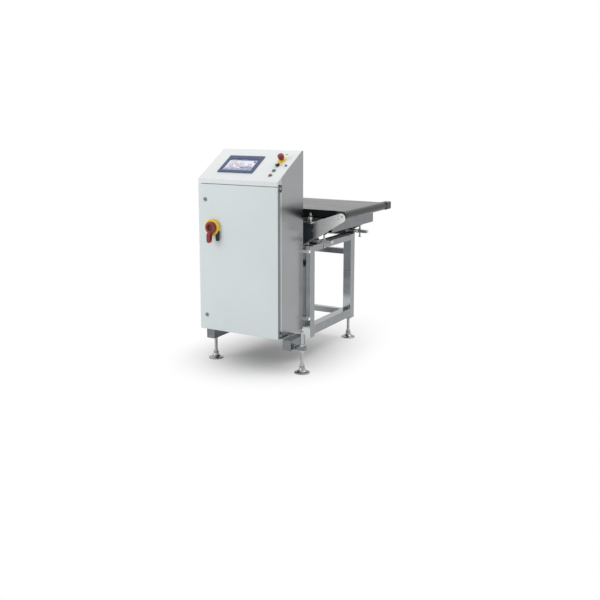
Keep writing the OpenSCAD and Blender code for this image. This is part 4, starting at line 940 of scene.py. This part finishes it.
finish_piece("device_labels", labels, pale_plastic, "stand", smooth=False)

# %% [markdown]
# ## Floor, backdrop and light
# The photograph has a white background and a soft grey shadow. The floor is a pale matt sheet
# that fades to plain white away from the machine, faster at the front than behind it, and the
# world is white for the camera and for reflections. One large soft lamp hangs above the conveyor,
# and a second one stands at the left front.

# %% Floor
SHADE_X, SHADE_Y = 0.02, 0.25 - MID_Y
SHADE_STRETCH = 2.2
SHADE_CORE, SHADE_EDGE = 0.06, 0.72


def seen_plainly(tree):
    """1 for rays from the camera, off a gloss or through glass, 0 for light on its way."""
    path = tree.nodes.new("ShaderNodeLightPath")
    gloss, through = path.outputs["Is Glossy Ray"], path.outputs["Is Transmission Ray"]
    returned = math_node(tree, "MAXIMUM", gloss, through)
    return math_node(tree, "MAXIMUM", path.outputs["Is Camera Ray"], returned)


bpy.ops.mesh.primitive_plane_add(size=30.0, location=(0.0, 0.0, 0.0))
floor = bpy.context.object
floor.name = "floor"
floor_finish, tree, shader = start_material("pale floor", (0.80, 0.80, 0.80), 0.6)
shader.inputs["Specular IOR Level"].default_value = 0.2
place = tree.nodes.new("ShaderNodeTexCoord")
spot = tree.nodes.new("ShaderNodeSeparateXYZ")
tree.links.new(place.outputs["Object"], spot.inputs[0])
across = math_node(tree, "SUBTRACT", spot.outputs["X"], SHADE_X)
deep = math_node(tree, "SUBTRACT", spot.outputs["Y"], SHADE_Y)
behind = math_node(tree, "MULTIPLY", math_node(tree, "MAXIMUM", deep, 0.0), 1 / SHADE_STRETCH)
along = math_node(tree, "ADD", behind, math_node(tree, "MINIMUM", deep, 0.0))
joined = tree.nodes.new("ShaderNodeCombineXYZ")
tree.links.new(across, joined.inputs["X"])
tree.links.new(along, joined.inputs["Y"])
away = tree.nodes.new("ShaderNodeVectorMath")
away.operation = "LENGTH"
tree.links.new(joined.outputs[0], away.inputs[0])
fade = tree.nodes.new("ShaderNodeMapRange")
fade.interpolation_type = "SMOOTHSTEP"
fade.inputs["From Min"].default_value = SHADE_CORE
fade.inputs["From Max"].default_value = SHADE_EDGE
tree.links.new(away.outputs["Value"], fade.inputs["Value"])
white = add_node(tree, "ShaderNodeEmission", Strength=1.0)
blend = tree.nodes.new("ShaderNodeMixShader")
tree.links.new(math_node(tree, "MULTIPLY", seen_plainly(tree), fade.outputs["Result"]), blend.inputs[0])
tree.links.new(shader.outputs[0], blend.inputs[1])
tree.links.new(white.outputs[0], blend.inputs[2])
tree.links.new(blend.outputs[0], tree.nodes["Material Output"].inputs["Surface"])
floor.data.materials.append(floor_finish)
print("floor fades to white", round(SHADE_STRETCH * SHADE_EDGE, 2), "m behind the cabinet")

# %% World and lamps
world = bpy.data.worlds.new("studio")
bpy.context.scene.world = world
world.use_nodes = True
tree = world.node_tree
base = tree.nodes["Background"]
base.inputs["Color"].default_value = (1.0, 1.0, 1.0, 1.0)
base.inputs["Strength"].default_value = 0.55
plain = add_node(tree, "ShaderNodeBackground", Color=(1.0, 1.0, 1.0, 1.0), Strength=1.0)
blend = tree.nodes.new("ShaderNodeMixShader")
tree.links.new(seen_plainly(tree), blend.inputs[0])
tree.links.new(base.outputs[0], blend.inputs[1])
tree.links.new(plain.outputs[0], blend.inputs[2])
tree.links.new(blend.outputs[0], tree.nodes["World Output"].inputs["Surface"])


def soft_lamp(name, place, aim, size, power):
    data = bpy.data.lights.new(name, "AREA")
    data.shape = "SQUARE"
    data.size = size
    data.energy = power
    lamp = bpy.data.objects.new(name, data)
    lamp.location = place
    lamp.rotation_euler = (Vector(aim) - Vector(place)).to_track_quat("-Z", "Y").to_euler()
    bpy.context.scene.collection.objects.link(lamp)


soft_lamp("overhead_softbox", (0.8, 1.2, 3.6), (0.0, 0.0, 0.5), 2.6, 55.0)
soft_lamp("front_softbox", (-2.6, -3.6, 2.4), (0.0, -0.3, 0.7), 2.4, 60.0)
bpy.context.scene.view_settings.view_transform = "Standard"
print("floor, world and two soft lamps")
